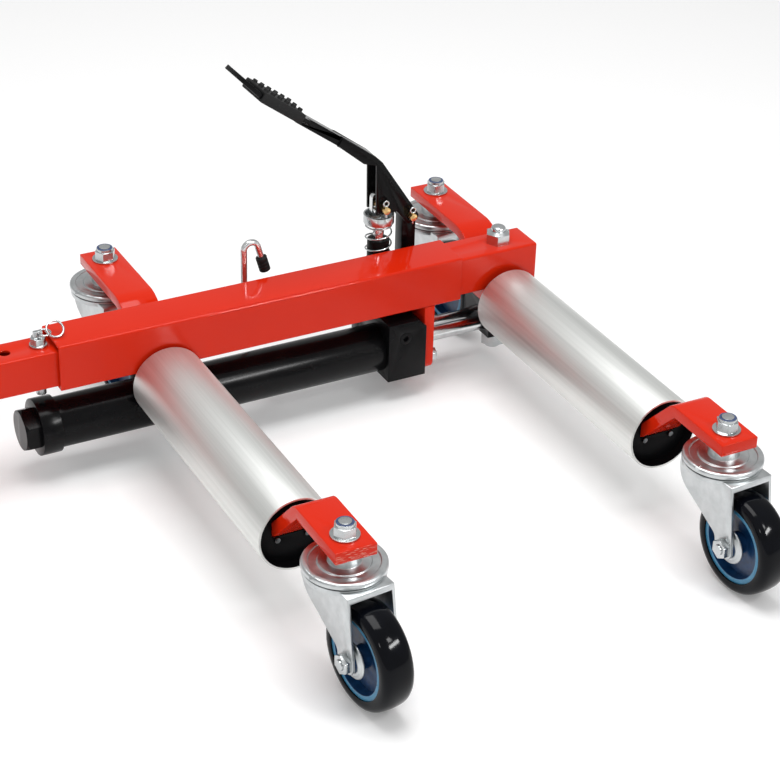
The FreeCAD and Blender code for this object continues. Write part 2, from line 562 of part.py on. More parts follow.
# Pump block: front part beside the plate, rear part behind it under the pump and the pedal post
front = profile("block_front_part", "XZ_Plane", [
    ("block_left_x", "block_bottom_z"), ("block_right_x", "block_bottom_z"),
    ("block_right_x", "block_top_z - block_chamfer"), ("block_right_x - block_chamfer", "block_top_z"),
    ("block_left_x", "block_top_z")], "block_rear_y - block_front_y",
    "(block_rear_y + block_front_y) / 2")
rear = box("block_rear_part", ("block_left_x", "block_right_x + block_rear_extra"),
           ("plate_back_y + plate_gap", "block_rear_y"), ("block_bottom_z", "block_top_z"))
plug_spot = ("block_left_x + block_length * plug_left_share", "block_top_z - plug_drop")
bolt_spots = [(f"tube_centre_y {sign} block_bolt_offset_y", "cylinder_axis_z - block_bolt_drop")
              for sign in ("-", "+")]
release_spot = ("pump_axis_y", "release_z")
block_bores = [
    rod("block_rod_bore", "x", "rod_radius + rod_fit", "block_left_x - overrun", "block_right_x + overrun",
        axis_spot),
    rod("block_guide_bore", "x", "guide_radius + rod_fit", "block_left_x - overrun",
        "block_right_x + block_rear_extra + overrun", guide_spot),
    rod("block_plug_bore", "y", "plug_radius + seat_fit", "block_front_y - overrun",
        "block_front_y + plug_depth", plug_spot),
    rod("block_release_bore", "x", "release_radius + pin_fit", "block_left_x - overrun",
        "block_left_x + release_seat", release_spot),
] + [rod(f"block_bolt_bore_{i}", "x", "block_bolt_radius + seat_fit", "block_right_x - block_bolt_reach",
         "block_right_x + overrun", spot) for i, spot in enumerate(bolt_spots)]
node(cut("pump_block", fuse("pump_block_solid", front, rear), *block_bores))

# Cylinder plate: red lug under the main tube that the block is bolted to
lug = profile("cylinder_lug", "YZ_Plane", [
    ("tube_centre_y - plate_half_width", "plate_bottom_z", "plate_round"),
    ("plate_back_y", "plate_bottom_z", "plate_round"),
    ("plate_back_y", "tube_bottom_z"), ("tube_centre_y - plate_half_width", "tube_bottom_z")],
    "plate_thick", "block_right_x + plate_thick / 2")
lug_holes = [rod("plate_rod_hole", "x", "rod_radius + rod_fit", "block_right_x - overrun",
                 "plate_right_x + overrun", axis_spot)]
lug_holes += [rod(f"plate_bolt_hole_{i}", "x", "block_bolt_radius + bolt_hole_gap", "block_right_x - overrun",
                  "plate_right_x + overrun", spot) for i, spot in enumerate(bolt_spots)]
node(cut("cylinder_plate", lug, *lug_holes))

# Block screws: socket plug in the near face and two bolts through the plate
plug = cut("block_plug", rod("plug_solid", "y", "plug_radius", "block_front_y",
                             "block_front_y + plug_depth", plug_spot),
           hexagon("plug_socket", "y", "plug_socket_flats", "block_front_y - overrun",
                   "block_front_y + plug_socket_depth", plug_spot))
block_bolts = []
for i, spot in enumerate(bolt_spots):
    shank = rod(f"block_bolt_shank_{i}", "x", "block_bolt_radius", "block_right_x - block_bolt_reach",
                "plate_right_x", spot)
    head = hexagon(f"block_bolt_head_{i}", "x", "block_bolt_flats", "plate_right_x",
                   "plate_right_x + block_bolt_head", spot)
    block_bolts.append(fuse(f"block_bolt_{i}", shank, head))
node(group("block_screws", plug, *block_bolts))

# Foot pump: barrel on the block, plunger with its cup, and the return spring between them
barrel = turned("pump_barrel", "z", [
    ("block_top_z", "0"), ("block_top_z", "barrel_base_radius"), ("barrel_seat_z", "barrel_base_radius"),
    ("barrel_seat_z", "barrel_radius"), ("barrel_top_z", "barrel_radius"),
    ("barrel_top_z", "plunger_radius + plunger_fit"),
    ("block_top_z + barrel_floor", "plunger_radius + plunger_fit"),
    ("block_top_z + barrel_floor", "0")])
node(place(barrel, x="pump_axis_x", y="pump_axis_y"))
stem = rod("plunger_stem", "z", "plunger_radius", "plunger_bottom_z", "cup_seat_z",
           ("pump_axis_x", "pump_axis_y"))
tongue = profile("plunger_tongue", "XZ_Plane", [
    ("pump_axis_x - tongue_left", "cup_seat_z"), ("pump_axis_x + tongue_right", "cup_seat_z"),
    ("pump_axis_x + tongue_right", "link_z + tongue_rise", "tongue_thick"),
    ("pump_axis_x - tongue_left", "link_z + tongue_rise", "tongue_thick")], "tongue_thick", "pump_axis_y")
slot_half = "(pin_radius + link_slot_gap)"
slot_faces = ("pump_axis_y - tongue_thick", "pump_axis_y + tongue_thick")
link_slot = fuse(
    "link_slot",
    rod("link_slot_right", "y", slot_half, *slot_faces, ("pump_axis_x", "link_z")),
    rod("link_slot_left", "y", slot_half, *slot_faces, ("pump_axis_x - link_slot_run", "link_z")),
    box("link_slot_middle", ("pump_axis_x - link_slot_run", "pump_axis_x"), slot_faces,
        (f"link_z - {slot_half}", f"link_z + {slot_half}")))
node(cut("pump_plunger", fuse("plunger_solid", stem, tongue), link_slot))
cup = turned("spring_cup", "z", [
    ("cup_floor_z", "plunger_radius + seat_fit"), ("cup_floor_z", "cup_radius"), ("cup_top_z", "cup_radius"),
    ("cup_top_z", "cup_radius - cup_wall"), ("cup_seat_z", "cup_radius - cup_wall"),
    ("cup_seat_z", "plunger_radius + seat_fit")])
node(place(cup, x="pump_axis_x", y="pump_axis_y"))


def middle_of_arc(start, direction, end):
    """Middle point of the arc from start to end that leaves start along direction."""
    chord = end - start
    unit = chord / chord.Length
    side = direction - unit * direction.dot(unit)
    half = math.acos(max(-1.0, min(1.0, direction.dot(unit))))
    side.normalize()
    return start + chord / 2 + side * (chord.Length / 2 * math.tan(half / 2))


def biarc(start, leave, end, arrive):
    """Two tangent arcs between two points with given directions."""
    span = end - start
    total = leave + arrive
    bend = 2 * (1 - leave.dot(arrive))
    reach = (math.sqrt(span.dot(total) ** 2 + bend * span.dot(span)) - span.dot(total)) / bend
    joint = (start + end + (leave - arrive) * reach) / 2
    first = Part.Arc(start, middle_of_arc(start, leave, joint), joint)
    second = Part.Arc(joint, middle_of_arc(end, arrive * -1, joint), end)
    return [first.toShape(), second.toShape()]


def pump_spring():
    """Compression spring: close end turns, even turns between, one round wire on biarcs of a quarter turn."""
    radius, wire, turns = num("spring_radius"), num("spring_wire"), num("spring_turns")
    low = num("barrel_seat_z + spring_seat_gap + spring_wire / 2")
    high = num("cup_floor_z - spring_seat_gap - spring_wire / 2")
    end_pitch = num("spring_end_pitch")
    pitch = (high - low - 2 * end_pitch) / (turns - 2)

    def height(turn):
        if turn <= 1:
            return low + end_pitch * turn
        if turn >= turns - 1:
            return high - end_pitch * (turns - turn)
        return low + end_pitch + pitch * (turn - 1)

    def spot(turn):
        angle = 2 * math.pi * turn
        return FreeCAD.Vector(radius * math.cos(angle), radius * math.sin(angle), height(turn))

    def heading(turn):
        step = 1e-4
        slope = (height(min(turns, turn + step)) - height(max(0, turn - step))) / (
            min(turns, turn + step) - max(0, turn - step))
        angle = 2 * math.pi * turn
        way = FreeCAD.Vector(-math.sin(angle), math.cos(angle), slope / (2 * math.pi * radius))
        return way.normalize()

    quarters = round(turns * 4)
    edges = []
    for i in range(quarters):
        first, last = turns * i / quarters, turns * (i + 1) / quarters
        edges += biarc(spot(first), heading(first), spot(last), heading(last))
    path = Part.Wire(edges)
    section = Part.Wire(Part.makeCircle(wire / 2, spot(0), heading(0)))
    tube = path.makePipeShell([section], True, False)
    samples = [spot(turns * i / (quarters * 6)) for i in range(quarters * 6 + 1)]
    apart = math.ceil(len(samples) / turns / 2)
    gap = min(a.distanceToPoint(b) for i, a in enumerate(samples) for b in samples[i + apart:]) - wire
    print(f"pump spring: least gap to itself {gap:.2f} mm, volume {tube.Volume:.1f} mm3,"
          f" wire section times length {math.pi * wire ** 2 / 4 * path.Length:.1f} mm3")
    return tube


spring = doc.addObject("Part::Feature", "pump_spring")
spring.Shape = pump_spring()
node(place(spring, x="pump_axis_x", y="pump_axis_y"))

# Pedal post: upright lug on the rear of the block that carries the pedal's pivot
post = profile("pedal_post_bar", "XZ_Plane", [
    ("pivot_x - post_width / 2", "block_top_z"), ("pivot_x + post_width / 2", "block_top_z"),
    ("pivot_x + post_width / 2", "pivot_z + post_width / 2", "post_width * 0.45"),
    ("pivot_x - post_width / 2", "pivot_z + post_width / 2", "post_width * 0.45")], "post_thick", "pump_axis_y")
node(cut("pedal_post", post, rod("post_pivot_hole", "y", "pin_radius + pin_fit", "pump_axis_y - post_thick",
                                 "pump_axis_y + post_thick", ("pivot_x", "pivot_z"))))

# Pedal lever: two side plates, the arm between them and the foot plate, welded into one piece
knee = (f"pivot_x + {PEDAL_SIDE_SHARES[5][0]} * pedal_rise",
        f"pivot_z + {PEDAL_SIDE_SHARES[5][1]} * pedal_rise")
side_corners = [[f"pivot_x + {sx} * pedal_rise", f"pivot_z + {sz} * pedal_rise"]
                for sx, sz in PEDAL_SIDE_SHARES]
for heel in (2, 3):
    side_corners[heel].append("pedal_heel_round")
sides = [profile(f"pedal_side_{hand}", "XZ_Plane", side_corners, "pedal_plate_thick",
                 f"pump_axis_y {sign} (side_inner + pedal_plate_thick / 2)")
         for hand, sign in (("near", "-"), ("far", "+"))]
arm_bar = profile("pedal_arm", "XZ_Plane", [
    ("0", "0"), ("arm_thick / 2", "-arm_thick"), ("-arm_bare_length", "-arm_thick"), ("-arm_bare_length", "0")],
    "2 * side_inner")
toe_x = "(-foot_bend - toe_length * cos(toe_angle))"
toe_z = "(toe_length * sin(toe_angle))"
foot = profile("pedal_foot", "XZ_Plane", [
    ("-foot_plate_start", "0"), ("-foot_bend", "0"), (toe_x, toe_z),
    (f"{toe_x} - foot_plate_thick * sin(toe_angle)", f"{toe_z} - foot_plate_thick * cos(toe_angle)"),
    ("-foot_bend - foot_plate_thick * tan(toe_angle / 2)", "-foot_plate_thick"),
    ("-foot_plate_start", "-foot_plate_thick")], "foot_plate_width")
for piece in (arm_bar, foot):
    place(piece, knee[0], "pump_axis_y", knee[1], "arm_angle", (0, 1, 0))
pin_holes = [rod(f"pedal_hole_{pin}", "y", "pin_radius + pin_fit / 2", "pump_axis_y - foot_plate_width",
                 "pump_axis_y + foot_plate_width", spot)
             for pin, spot in (("pivot", ("pivot_x", "pivot_z")), ("link", ("pump_axis_x", "link_z")))]
node(cut("pedal_lever", fuse("pedal_lever_solid", *sides, arm_bar, foot), *pin_holes))

# Pedal pad: studded rubber boot pulled over the foot plate
pad_block = profile("pad_block", "XZ_Plane", [
    ("-pad_start", "-foot_plate_thick - pad_under", "pad_under / 2"),
    ("-pad_start", "pad_over", "pad_over / 2"),
    ("-pad_end", "pad_over", "pad_over / 2"), ("-pad_end", "-foot_plate_thick - pad_under", "pad_under / 2")],
    "foot_plate_width + 2 * pad_side")
pad_slot = box("pad_slot", ("-pad_end - overrun", "-pad_start + overrun"),
               ("-foot_plate_width / 2 - pad_fit", "foot_plate_width / 2 + pad_fit"),
               ("-foot_plate_thick - pad_fit", "pad_fit"))
row_step = "((pad_end - pad_start) / stud_rows)"
column_step = "(foot_plate_width / stud_columns)"
studs = []
for row in range(int(num("stud_rows"))):
    for column in range(int(num("stud_columns"))):
        spot = (f"-pad_end + {row_step} * ({row} + 0.5)",
                f"{column_step} * ({column} + 0.5 - stud_columns / 2)")
        studs.append(cone(f"pad_stud_{row}_{column}", "z", "stud_radius", "stud_radius * 0.8", "pad_over / 2",
                          "pad_over + stud_height", spot))
pad = cut("pedal_pad", fuse("pad_studded", pad_block, *studs), pad_slot)
node(place(pad, knee[0], "pump_axis_y", knee[1], "arm_angle", (0, 1, 0)))

# Pivot and link pins, each with a wire cotter through its near end
pin_low = "(pump_axis_y - side_inner - pedal_plate_thick - pin_overhang)"
pin_high = "(pump_axis_y + side_inner + pedal_plate_thick + pin_overhang / 2)"
cotters = []
for name, spot in (("pivot_pin", ("pivot_x", "pivot_z")), ("link_pin", ("pump_axis_x", "link_z"))):
    hole_y = f"{pin_low} + clip_inset"
    hole = rod(f"{name}_hole", "z", "clip_wire + clip_gap", f"{spot[1]} - pin_radius - overrun",
               f"{spot[1]} + pin_radius + overrun", (spot[0], hole_y))
    node(cut(name, rod(f"{name}_solid", "y", "pin_radius", pin_low, pin_high, spot), hole))
    leg_top = f"{spot[1]} + pin_radius + clip_neck"
    leg = rod(f"{name}_cotter_leg", "z", "clip_wire", f"{spot[1]} - pin_radius - clip_tail", leg_top,
              (spot[0], hole_y))
    eye = ring(f"{name}_cotter_eye", "clip_eye", "clip_wire", spot[0], hole_y, f"{leg_top} + clip_eye",
               (1, 0, 0), 90)
    cotters.append(fuse(f"{name}_cotter", leg, eye))
node(group("pin_clips", *cotters))

# Release lever: one bent round bar that turns in the block, with a ribbed grip on its hooked tail
bend_end = "(release_x + release_bend)"
bend_top = "(release_z + release_bend)"
hook_x = "(release_x + release_hook_radius)"
tail_top = (f"({hook_x} + release_hook_radius * cos(tail_lean))",
            "(release_straight_z + release_hook_radius * sin(tail_lean))")
shaft = rod("release_shaft", "x", "release_radius", bend_end, "block_left_x + release_seat - pin_overhang / 4",
            release_spot)
elbow = ring("release_elbow", "release_bend", "release_radius", bend_end, "pump_axis_y", bend_top,
             (1, 0, 0), 90, 90)
elbow.Placement.Rotation = FreeCAD.Rotation(FreeCAD.Vector(0, -1, 0), 180) * elbow.Placement.Rotation
upright = rod("release_upright", "z", "release_radius", bend_top, "release_straight_z",
              ("release_x", "pump_axis_y"))
hook = ring("release_hook", "release_hook_radius", "release_radius", hook_x, "pump_axis_y",
            "release_straight_z",
            (1, 0, 0), 90, 180 - num("tail_lean"))
hook.setExpression("Angle3", fx("180 - tail_lean"))
hook.Placement.Rotation = hook.Placement.Rotation * FreeCAD.Rotation(FreeCAD.Vector(0, 0, 1), num("tail_lean"))


def on_tail(item, reach):
    """Place an item on the leaning tail, its foot at a reach down from the end of the hook."""
    return place(item, f"{tail_top[0]} + ({reach}) * sin(tail_lean)", "pump_axis_y",
                 f"{tail_top[1]} - ({reach}) * cos(tail_lean)", "tail_lean", (0, -1, 0))


tail = doc.addObject("Part::Cylinder", "release_tail_bar")
bind(tail, Radius="release_radius", Height="release_tail - grip_floor")
on_tail(tail, "release_tail - grip_floor")
node(fuse("release_lever", shaft, elbow, upright, hook, tail))
rib_corners = [("0", "0"), ("0", "grip_radius")]
ribs = int(num("grip_length / (2 * grip_rib)"))
for i in range(1, ribs):
    low = f"({2 * i} * grip_rib - grip_rib / 2)"
    rib_corners += [(low, "grip_radius"), (low, "grip_radius - grip_groove"),
                    (f"{low} + grip_rib / 2", "grip_radius - grip_groove"),
                    (f"{low} + grip_rib / 2", "grip_radius")]
rib_corners += [("grip_length", "grip_radius"), ("grip_length", "release_radius + grip_fit"),
                ("grip_floor", "release_radius + grip_fit"), ("grip_floor", "0")]
node(on_tail(turned("release_grip", "z", rib_corners), "release_tail"))

# Lock bar: perforated square tube that pulls out of the main tube, with its end cap
bare_bar = square_tube("lock_bar_bare", "lock_bar_size", "lock_bar_wall", "lock_bar_corner",
                       "lock_bar_left_x", "lock_bar_right_x",
                       "tube_centre_y", "lock_bar_mid_z")
lock_x = [f"(tube_left_x - lock_hole_first - {i} * lock_hole_pitch)" for i in range(int(num("lock_hole_count")))]
lock_holes = [rod(f"lock_hole_{i}", "z", "lock_hole_radius", "lock_bar_bottom_z - overrun",
                  "lock_bar_top_z + overrun",
                  (spot, "tube_centre_y")) for i, spot in enumerate(lock_x)]
node(cut("lock_bar", bare_bar, *lock_holes))


def square_section(half, corner):
    """Corners of a square about the lock bar's axis."""
    return [(f"tube_centre_y {across} {half}", f"lock_bar_mid_z {up} {half}", corner)
            for across, up in (("-", "-"), ("+", "-"), ("+", "+"), ("-", "+"))]


cap_flange = profile("cap_flange", "YZ_Plane", square_section("lock_bar_size / 2", "lock_bar_corner"),
                     "cap_thick",
                     "lock_bar_left_x - cap_thick / 2")
cap_plug = profile("cap_spigot", "YZ_Plane", square_section("(lock_bar_size / 2 - lock_bar_wall - cap_fit)",
                                                            "lock_bar_corner"), "cap_plug",
                   "lock_bar_left_x + cap_plug / 2")
node(fuse("lock_bar_cap", cap_flange, cap_plug))

# Lock pin through the first hole, with a pierced tab on its head and two linked wire rings
pin_spot = (lock_x[0], "tube_centre_y")
flange_top = "(lock_bar_top_z + pin_flange)"
head_top = f"({flange_top} + pin_head_height)"
tab_hole_z = f"({head_top} + pin_tab_height / 2)"
pin_solid = fuse(
    "lock_pin_solid",
    rod("lock_pin_shank", "z", "lock_pin_radius", "lock_bar_bottom_z - lock_pin_below", "lock_bar_top_z",
        pin_spot),
    rod("lock_pin_flange", "z", "pin_flange_radius", "lock_bar_top_z", flange_top, pin_spot),
    hexagon("lock_pin_head", "z", "pin_head_flats", flange_top, head_top, pin_spot),
    box("lock_pin_tab", (f"{pin_spot[0]} - pin_tab_width / 2", f"{pin_spot[0]} + pin_tab_width / 2"),
        ("tube_centre_y - pin_tab_thick / 2", "tube_centre_y + pin_tab_thick / 2"),
        (head_top, f"{head_top} + pin_tab_height")))
node(cut("lock_pin", pin_solid, rod("lock_pin_tab_hole", "y", "pin_tab_hole", "tube_centre_y - pin_tab_thick",
                                    "tube_centre_y + pin_tab_thick", (pin_spot[0], tab_hole_z))))
small_ring = ring("lock_ring_small", "ring_radius", "ring_wire", f"{pin_spot[0]} + ring_radius",
                  "tube_centre_y",
                  tab_hole_z, (1, 0, 0), 0)
big_ring = ring("lock_ring_big", "big_ring_radius", "big_ring_wire", f"{pin_spot[0]} + big_ring_right",
                "tube_centre_y",
                f"{tab_hole_z} + big_ring_up", (1, 0, 0), num("ring_lean"))
node(group("lock_pin_rings", small_ring, big_ring))


def caster_head(name, x, y):
    """Fixed upper half of a swivel: disc with a skirt, and a hub up to the bracket."""
    ceiling = "head_top_z - head_ceiling"
    skirt = "head_radius - head_skirt"
    hole = "stem_radius + stem_gap"
    corners = [(ceiling, hole), (ceiling, skirt), ("head_bottom_z", skirt), ("head_bottom_z", "head_radius"),
               ("head_top_z", "head_radius"), ("head_top_z", "head_groove_outer"),
               ("head_top_z - head_groove", "head_groove_outer"),
               ("head_top_z - head_groove", "head_groove_inner"),
               ("head_top_z", "head_groove_inner"), ("head_top_z", "head_hub_radius"),
               ("bracket_bottom_z", "head_hub_radius"), ("bracket_bottom_z", hole)]
    return place(turned(name, "z", corners, [("head_top_z", "head_radius", "head_lip")]), x, y)


def caster_fasteners(name, x, y):
    """Stem bolt from under the crown through the bracket, and its flanged lock nut."""
    nut_low = "(bracket_top_z + nut_flange)"
    nut_high = f"({nut_low} + nut_height)"
    collar_high = f"({nut_high} + nut_collar)"
    stem = rod(f"{name}_stem", "z", "stem_radius", "crown_low_z - swivel_gap",
               f"{collar_high} + stem_proud", (x, y))
    stem_hexagon = hexagon(f"{name}_stem_head", "z", "stem_flats", "crown_low_z - swivel_gap - stem_head",
                           "crown_low_z - swivel_gap", (x, y))
    nut = fuse(f"{name}_nut_solid",
               rod(f"{name}_nut_flange", "z", "nut_flange_radius", "bracket_top_z", nut_low, (x, y)),
               hexagon(f"{name}_nut_hexagon", "z", "nut_flats", nut_low, nut_high, (x, y)),
               rod(f"{name}_nut_collar", "z", "nut_collar_radius", nut_high, collar_high, (x, y)))
    bore = rod(f"{name}_nut_bore", "z", "stem_radius + seat_fit", "bracket_top_z - overrun",
               f"{collar_high} + overrun", (x, y))
    return [fuse(f"{name}_stem_bolt", stem, stem_hexagon), cut(f"{name}_nut", nut, bore)]


def caster(name, x, y):
    """Swivelling fork, axle and wheel, turned to the heading the caster stands at."""
    heading = f"{name}_heading"
    foot_z = "wheel_radius - fork_foot_drop"
    side_plate = profile(f"{name}_fork_side", "YZ_Plane", [
        (f"crown_radius * {FORK_BACK_SHARE}", "fork_top_z"),
        (f"crown_radius * {FORK_BACK_SHARE}", "fork_top_z - fork_shoulder", "fork_back_round"),
        ("-trail + fork_foot_half + fork_waist_run", "wheel_radius + fork_waist_rise", "fork_waist_round"),
        ("-trail + fork_foot_half", foot_z, "fork_foot_round"),
        ("-trail - fork_foot_half", foot_z, "fork_foot_round"),
        (f"-crown_radius * {FORK_FRONT_SHARE}", "fork_top_z")], "fork_outer")
    inside = box(f"{name}_fork_inside", ("-fork_inner / 2", "fork_inner / 2"),
                 ("-trail - crown_radius - overrun", "crown_radius + overrun"), ("0", "crown_low_z"))
    top = "head_top_z - head_ceiling - swivel_gap"
    flange = rod(f"{name}_crown_flange", "z", "crown_radius", "crown_bottom_z", "crown_flange_z", ("0", "0"))
    step = rod(f"{name}_crown_step", "z", "head_radius - head_skirt - swivel_gap", "crown_flange_z", top,
               ("0", "0"))
    stem_hole = rod(f"{name}_crown_hole", "z", "stem_radius + swivel_gap", "crown_low_z - overrun",
                    f"{top} + overrun", ("0", "0"))
    axle_spot = ("-trail", "wheel_radius")
    axle_hole = rod(f"{name}_fork_hole", "x", "axle_radius + axle_fit", "-fork_outer", "fork_outer", axle_spot)
    cheeks = cut(f"{name}_fork_cheeks", side_plate, inside)
    fork = cut(f"{name}_fork", fuse(f"{name}_fork_solid", cheeks, flange, step), stem_hole, axle_hole)
    node(place(fork, x, y, "0", heading))

    bolt = fuse(f"{name}_axle_bolt",
                rod(f"{name}_axle_shank", "x", "axle_radius", "-fork_outer / 2 - axle_nut - axle_tail",
                    "fork_outer / 2", axle_spot),
                hexagon(f"{name}_axle_head", "x", "axle_flats", "fork_outer / 2",
                        "fork_outer / 2 + axle_head", axle_spot))
    nut = cut(f"{name}_axle_nut",
              hexagon(f"{name}_axle_nut_hexagon", "x", "axle_flats", "-fork_outer / 2 - axle_nut",
                      "-fork_outer / 2",
                      axle_spot),
              rod(f"{name}_axle_nut_bore", "x", "axle_radius + seat_fit", "-fork_outer", "0", axle_spot))
    node(place(group(f"{name}_axle", bolt, nut), x, y, "0", heading))

    half = "wheel_width / 2"
    inner = "rim_radius + tyre_bore_gap"
    tyre = turned(f"{name}_tyre", "x", [(f"-{half}", inner), (f"-{half}", "wheel_radius"),
                                        (half, "wheel_radius"),
                                        (half, inner)],
                  [(f"-{half}", "wheel_radius", "tyre_round"), (half, "wheel_radius", "tyre_round")])
    bore = "axle_radius + axle_fit"
    hub, web, ring_half, ring_in = "hub_width / 2", "rim_web / 2", "rim_width / 2", "rim_radius - rim_ring"
    rim = turned(f"{name}_rim", "x", [
        (f"-{hub}", bore), (f"-{hub}", "hub_radius"), (f"-{web}", "hub_radius"), (f"-{web}", ring_in),
        (f"-{ring_half}", ring_in), (f"-{ring_half}", "rim_radius"), (ring_half, "rim_radius"),
        (ring_half, ring_in), (web, ring_in), (web, "hub_radius"), (hub, "hub_radius"), (hub, bore)])
    for piece in (tyre, rim):
        node(place(piece, f"({x}) + trail * sin({heading})", f"({y}) - trail * cos({heading})",
                   "wheel_radius", heading))


for side, x in ARMS.items():
    ends = (("near", "near_bolt_y"), ("far", "far_bolt_y"))
    node(group(f"{side}_caster_heads", *[caster_head(f"{side}_{end}_head", x, y) for end, y in ends]))
    fasteners = []
    for end, y in ends:
        fasteners += caster_fasteners(f"{side}_{end}", x, y)
    node(group(f"{side}_caster_fasteners", *fasteners))
    for end, y in ends:
        caster(f"{end}_{side}", x, y)

# Every item must be sound before any file is written
doc.recompute()
for item in doc.Objects:
    if any(word in item.State for word in ("Invalid", "Error")):
        raise RuntimeError(f"{item.Name} did not compute: {item.State}")
for item in nodes:
    item.Label = item.Name
    if item.Shape.isNull() or not item.Shape.isValid():
        raise RuntimeError(f"{item.Name} has no sound shape")
os.makedirs("parts", exist_ok=True)
whole = FreeCAD.BoundBox()
for item in nodes:
    item.Shape.exportStep(f"parts/{item.Label}.step")
    whole.add(item.Shape.BoundBox)
print(f"{len(nodes)} sub-parts, {sum(len(item.Shape.Solids) for item in nodes)} solids")
print(f"X {whole.XMin:.2f} to {whole.XMax:.2f}, Y {whole.YMin:.2f} to {whole.YMax:.2f},"
      f" Z {whole.ZMin:.2f} to {whole.ZMax:.2f}")
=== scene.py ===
import bpy
import json
import math
from mathutils import Matrix, Vector


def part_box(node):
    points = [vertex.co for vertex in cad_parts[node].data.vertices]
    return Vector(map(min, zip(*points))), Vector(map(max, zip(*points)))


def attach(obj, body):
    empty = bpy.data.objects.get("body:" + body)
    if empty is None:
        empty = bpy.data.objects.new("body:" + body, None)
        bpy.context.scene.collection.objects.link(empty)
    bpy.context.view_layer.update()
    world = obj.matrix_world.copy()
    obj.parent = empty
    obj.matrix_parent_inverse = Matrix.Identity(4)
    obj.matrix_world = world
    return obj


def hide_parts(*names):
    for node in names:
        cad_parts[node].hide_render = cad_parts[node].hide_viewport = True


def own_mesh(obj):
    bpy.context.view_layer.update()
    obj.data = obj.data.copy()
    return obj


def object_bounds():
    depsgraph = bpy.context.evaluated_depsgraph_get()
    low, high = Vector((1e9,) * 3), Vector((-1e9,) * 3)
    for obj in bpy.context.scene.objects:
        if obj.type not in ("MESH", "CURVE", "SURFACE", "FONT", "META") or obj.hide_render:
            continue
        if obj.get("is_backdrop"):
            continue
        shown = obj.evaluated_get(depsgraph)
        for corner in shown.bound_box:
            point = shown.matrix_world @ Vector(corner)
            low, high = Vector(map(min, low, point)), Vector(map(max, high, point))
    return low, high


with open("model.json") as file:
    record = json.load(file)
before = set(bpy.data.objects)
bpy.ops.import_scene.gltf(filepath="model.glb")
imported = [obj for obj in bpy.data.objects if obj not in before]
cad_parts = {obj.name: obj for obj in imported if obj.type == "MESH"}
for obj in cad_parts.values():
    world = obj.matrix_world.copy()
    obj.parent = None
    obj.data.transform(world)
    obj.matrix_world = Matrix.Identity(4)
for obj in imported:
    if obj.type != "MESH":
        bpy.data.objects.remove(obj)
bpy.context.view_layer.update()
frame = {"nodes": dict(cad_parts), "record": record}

# Main tube, slide tube and cylinder plate: cold formed 50 mm and 44 mm square tube and flat plate.
# They are sawn, deburred, welded and then powder coated in a glossy orange red.


def linear(code):
    """Linear colour from an sRGB hex code."""
    parts = [int(code[i:i + 2], 16) / 255 for i in (1, 3, 5)]
    return (*[c / 12.92 if c <= 0.04045 else ((c + 0.055) / 1.055) ** 2.4 for c in parts], 1.0)


def add_node(tree, kind, settings=None, values=None, links=None):
    """One shader node with its settings, its plain values and the outputs that feed it."""
    node = tree.nodes.new(kind)
    for name, value in (settings or {}).items():
        setattr(node, name, value)
    for name, value in (values or {}).items():
        node.inputs[name].default_value = value
    for name, (source, output) in (links or {}).items():
        tree.links.new(source.outputs[output], node.inputs[name])
    return node


def new_finish(name):
    """A new material, its empty tree, its output node and the link that lays a pattern on the object."""
    material = bpy.data.materials.new(name)
    material.use_nodes = True
    tree = material.node_tree
    tree.nodes.clear()
    out = tree.nodes.new("ShaderNodeOutputMaterial")
    return material, tree, out, {"Vector": (add_node(tree, "ShaderNodeTexCoord"), "Object")}


def shade_between(ramp, low, dark, high, light):
    """Set a colour ramp to run from one colour to another between two values."""
    first, last = ramp.color_ramp.elements
    first.position, last.position = low, high
    first.color, last.color = linear(dark), linear(light)


# Polyester powder melts into a thick film: a clear gloss with orange peel about 3 mm across
# and a tint that drifts a little over 150 mm.
red_coat, tree, out, place = new_finish("red_powder_coat")
peel = add_node(tree, "ShaderNodeTexNoise", None, {"Scale": 1 / 0.003, "Detail": 2.0}, place)
drift = add_node(tree, "ShaderNodeTexNoise", None, {"Scale": 1 / 0.15, "Detail": 3.0}, place)
tint = add_node(tree, "ShaderNodeValToRGB", None, None, {"Fac": (drift, "Fac")})
shade_between(tint, 0.3, "#D0250C", 0.7, "#D62A0E")
film = add_node(tree, "ShaderNodeMapRange", None, {"To Min": 0.1, "To Max": 0.18}, {"Value": (drift, "Fac")})
skin = add_node(tree, "ShaderNodeBump", None, {"Strength": 0.05, "Distance": 0.0003}, {"Height": (peel, "Fac")})
shader = add_node(tree, "ShaderNodeBsdfPrincipled", None,
                  {"IOR": 1.5, "Specular IOR Level": 0.06, "Coat Weight": 0.27, "Coat Roughness": 0.03},
                  {"Base Color": (tint, "Color"), "Roughness": (film, "Result"), "Normal": (skin, "Normal")})
tree.links.new(shader.outputs[0], out.inputs["Surface"])

body_of_node = {node: body for body, group in frame["record"]["behaviour"]["bodies"].items() for node in group}

# Points nearer than a micron are one, and edges are told flat, sharp or smooth by these angles in degrees.
merge_distance, flat_angle, sharp_angle, smooth_angle = 1e-6, 0.5, 38, 40


def pick(piece):
    """Select one object alone and make it the active one."""
    bpy.ops.object.select_all(action="DESELECT")
    piece.select_set(True)
    bpy.context.view_layer.objects.active = piece


def open_mesh():
    """Edit the active mesh with all of it selected."""
    bpy.ops.object.mode_set(mode="EDIT")
    bpy.ops.mesh.select_all(action="SELECT")


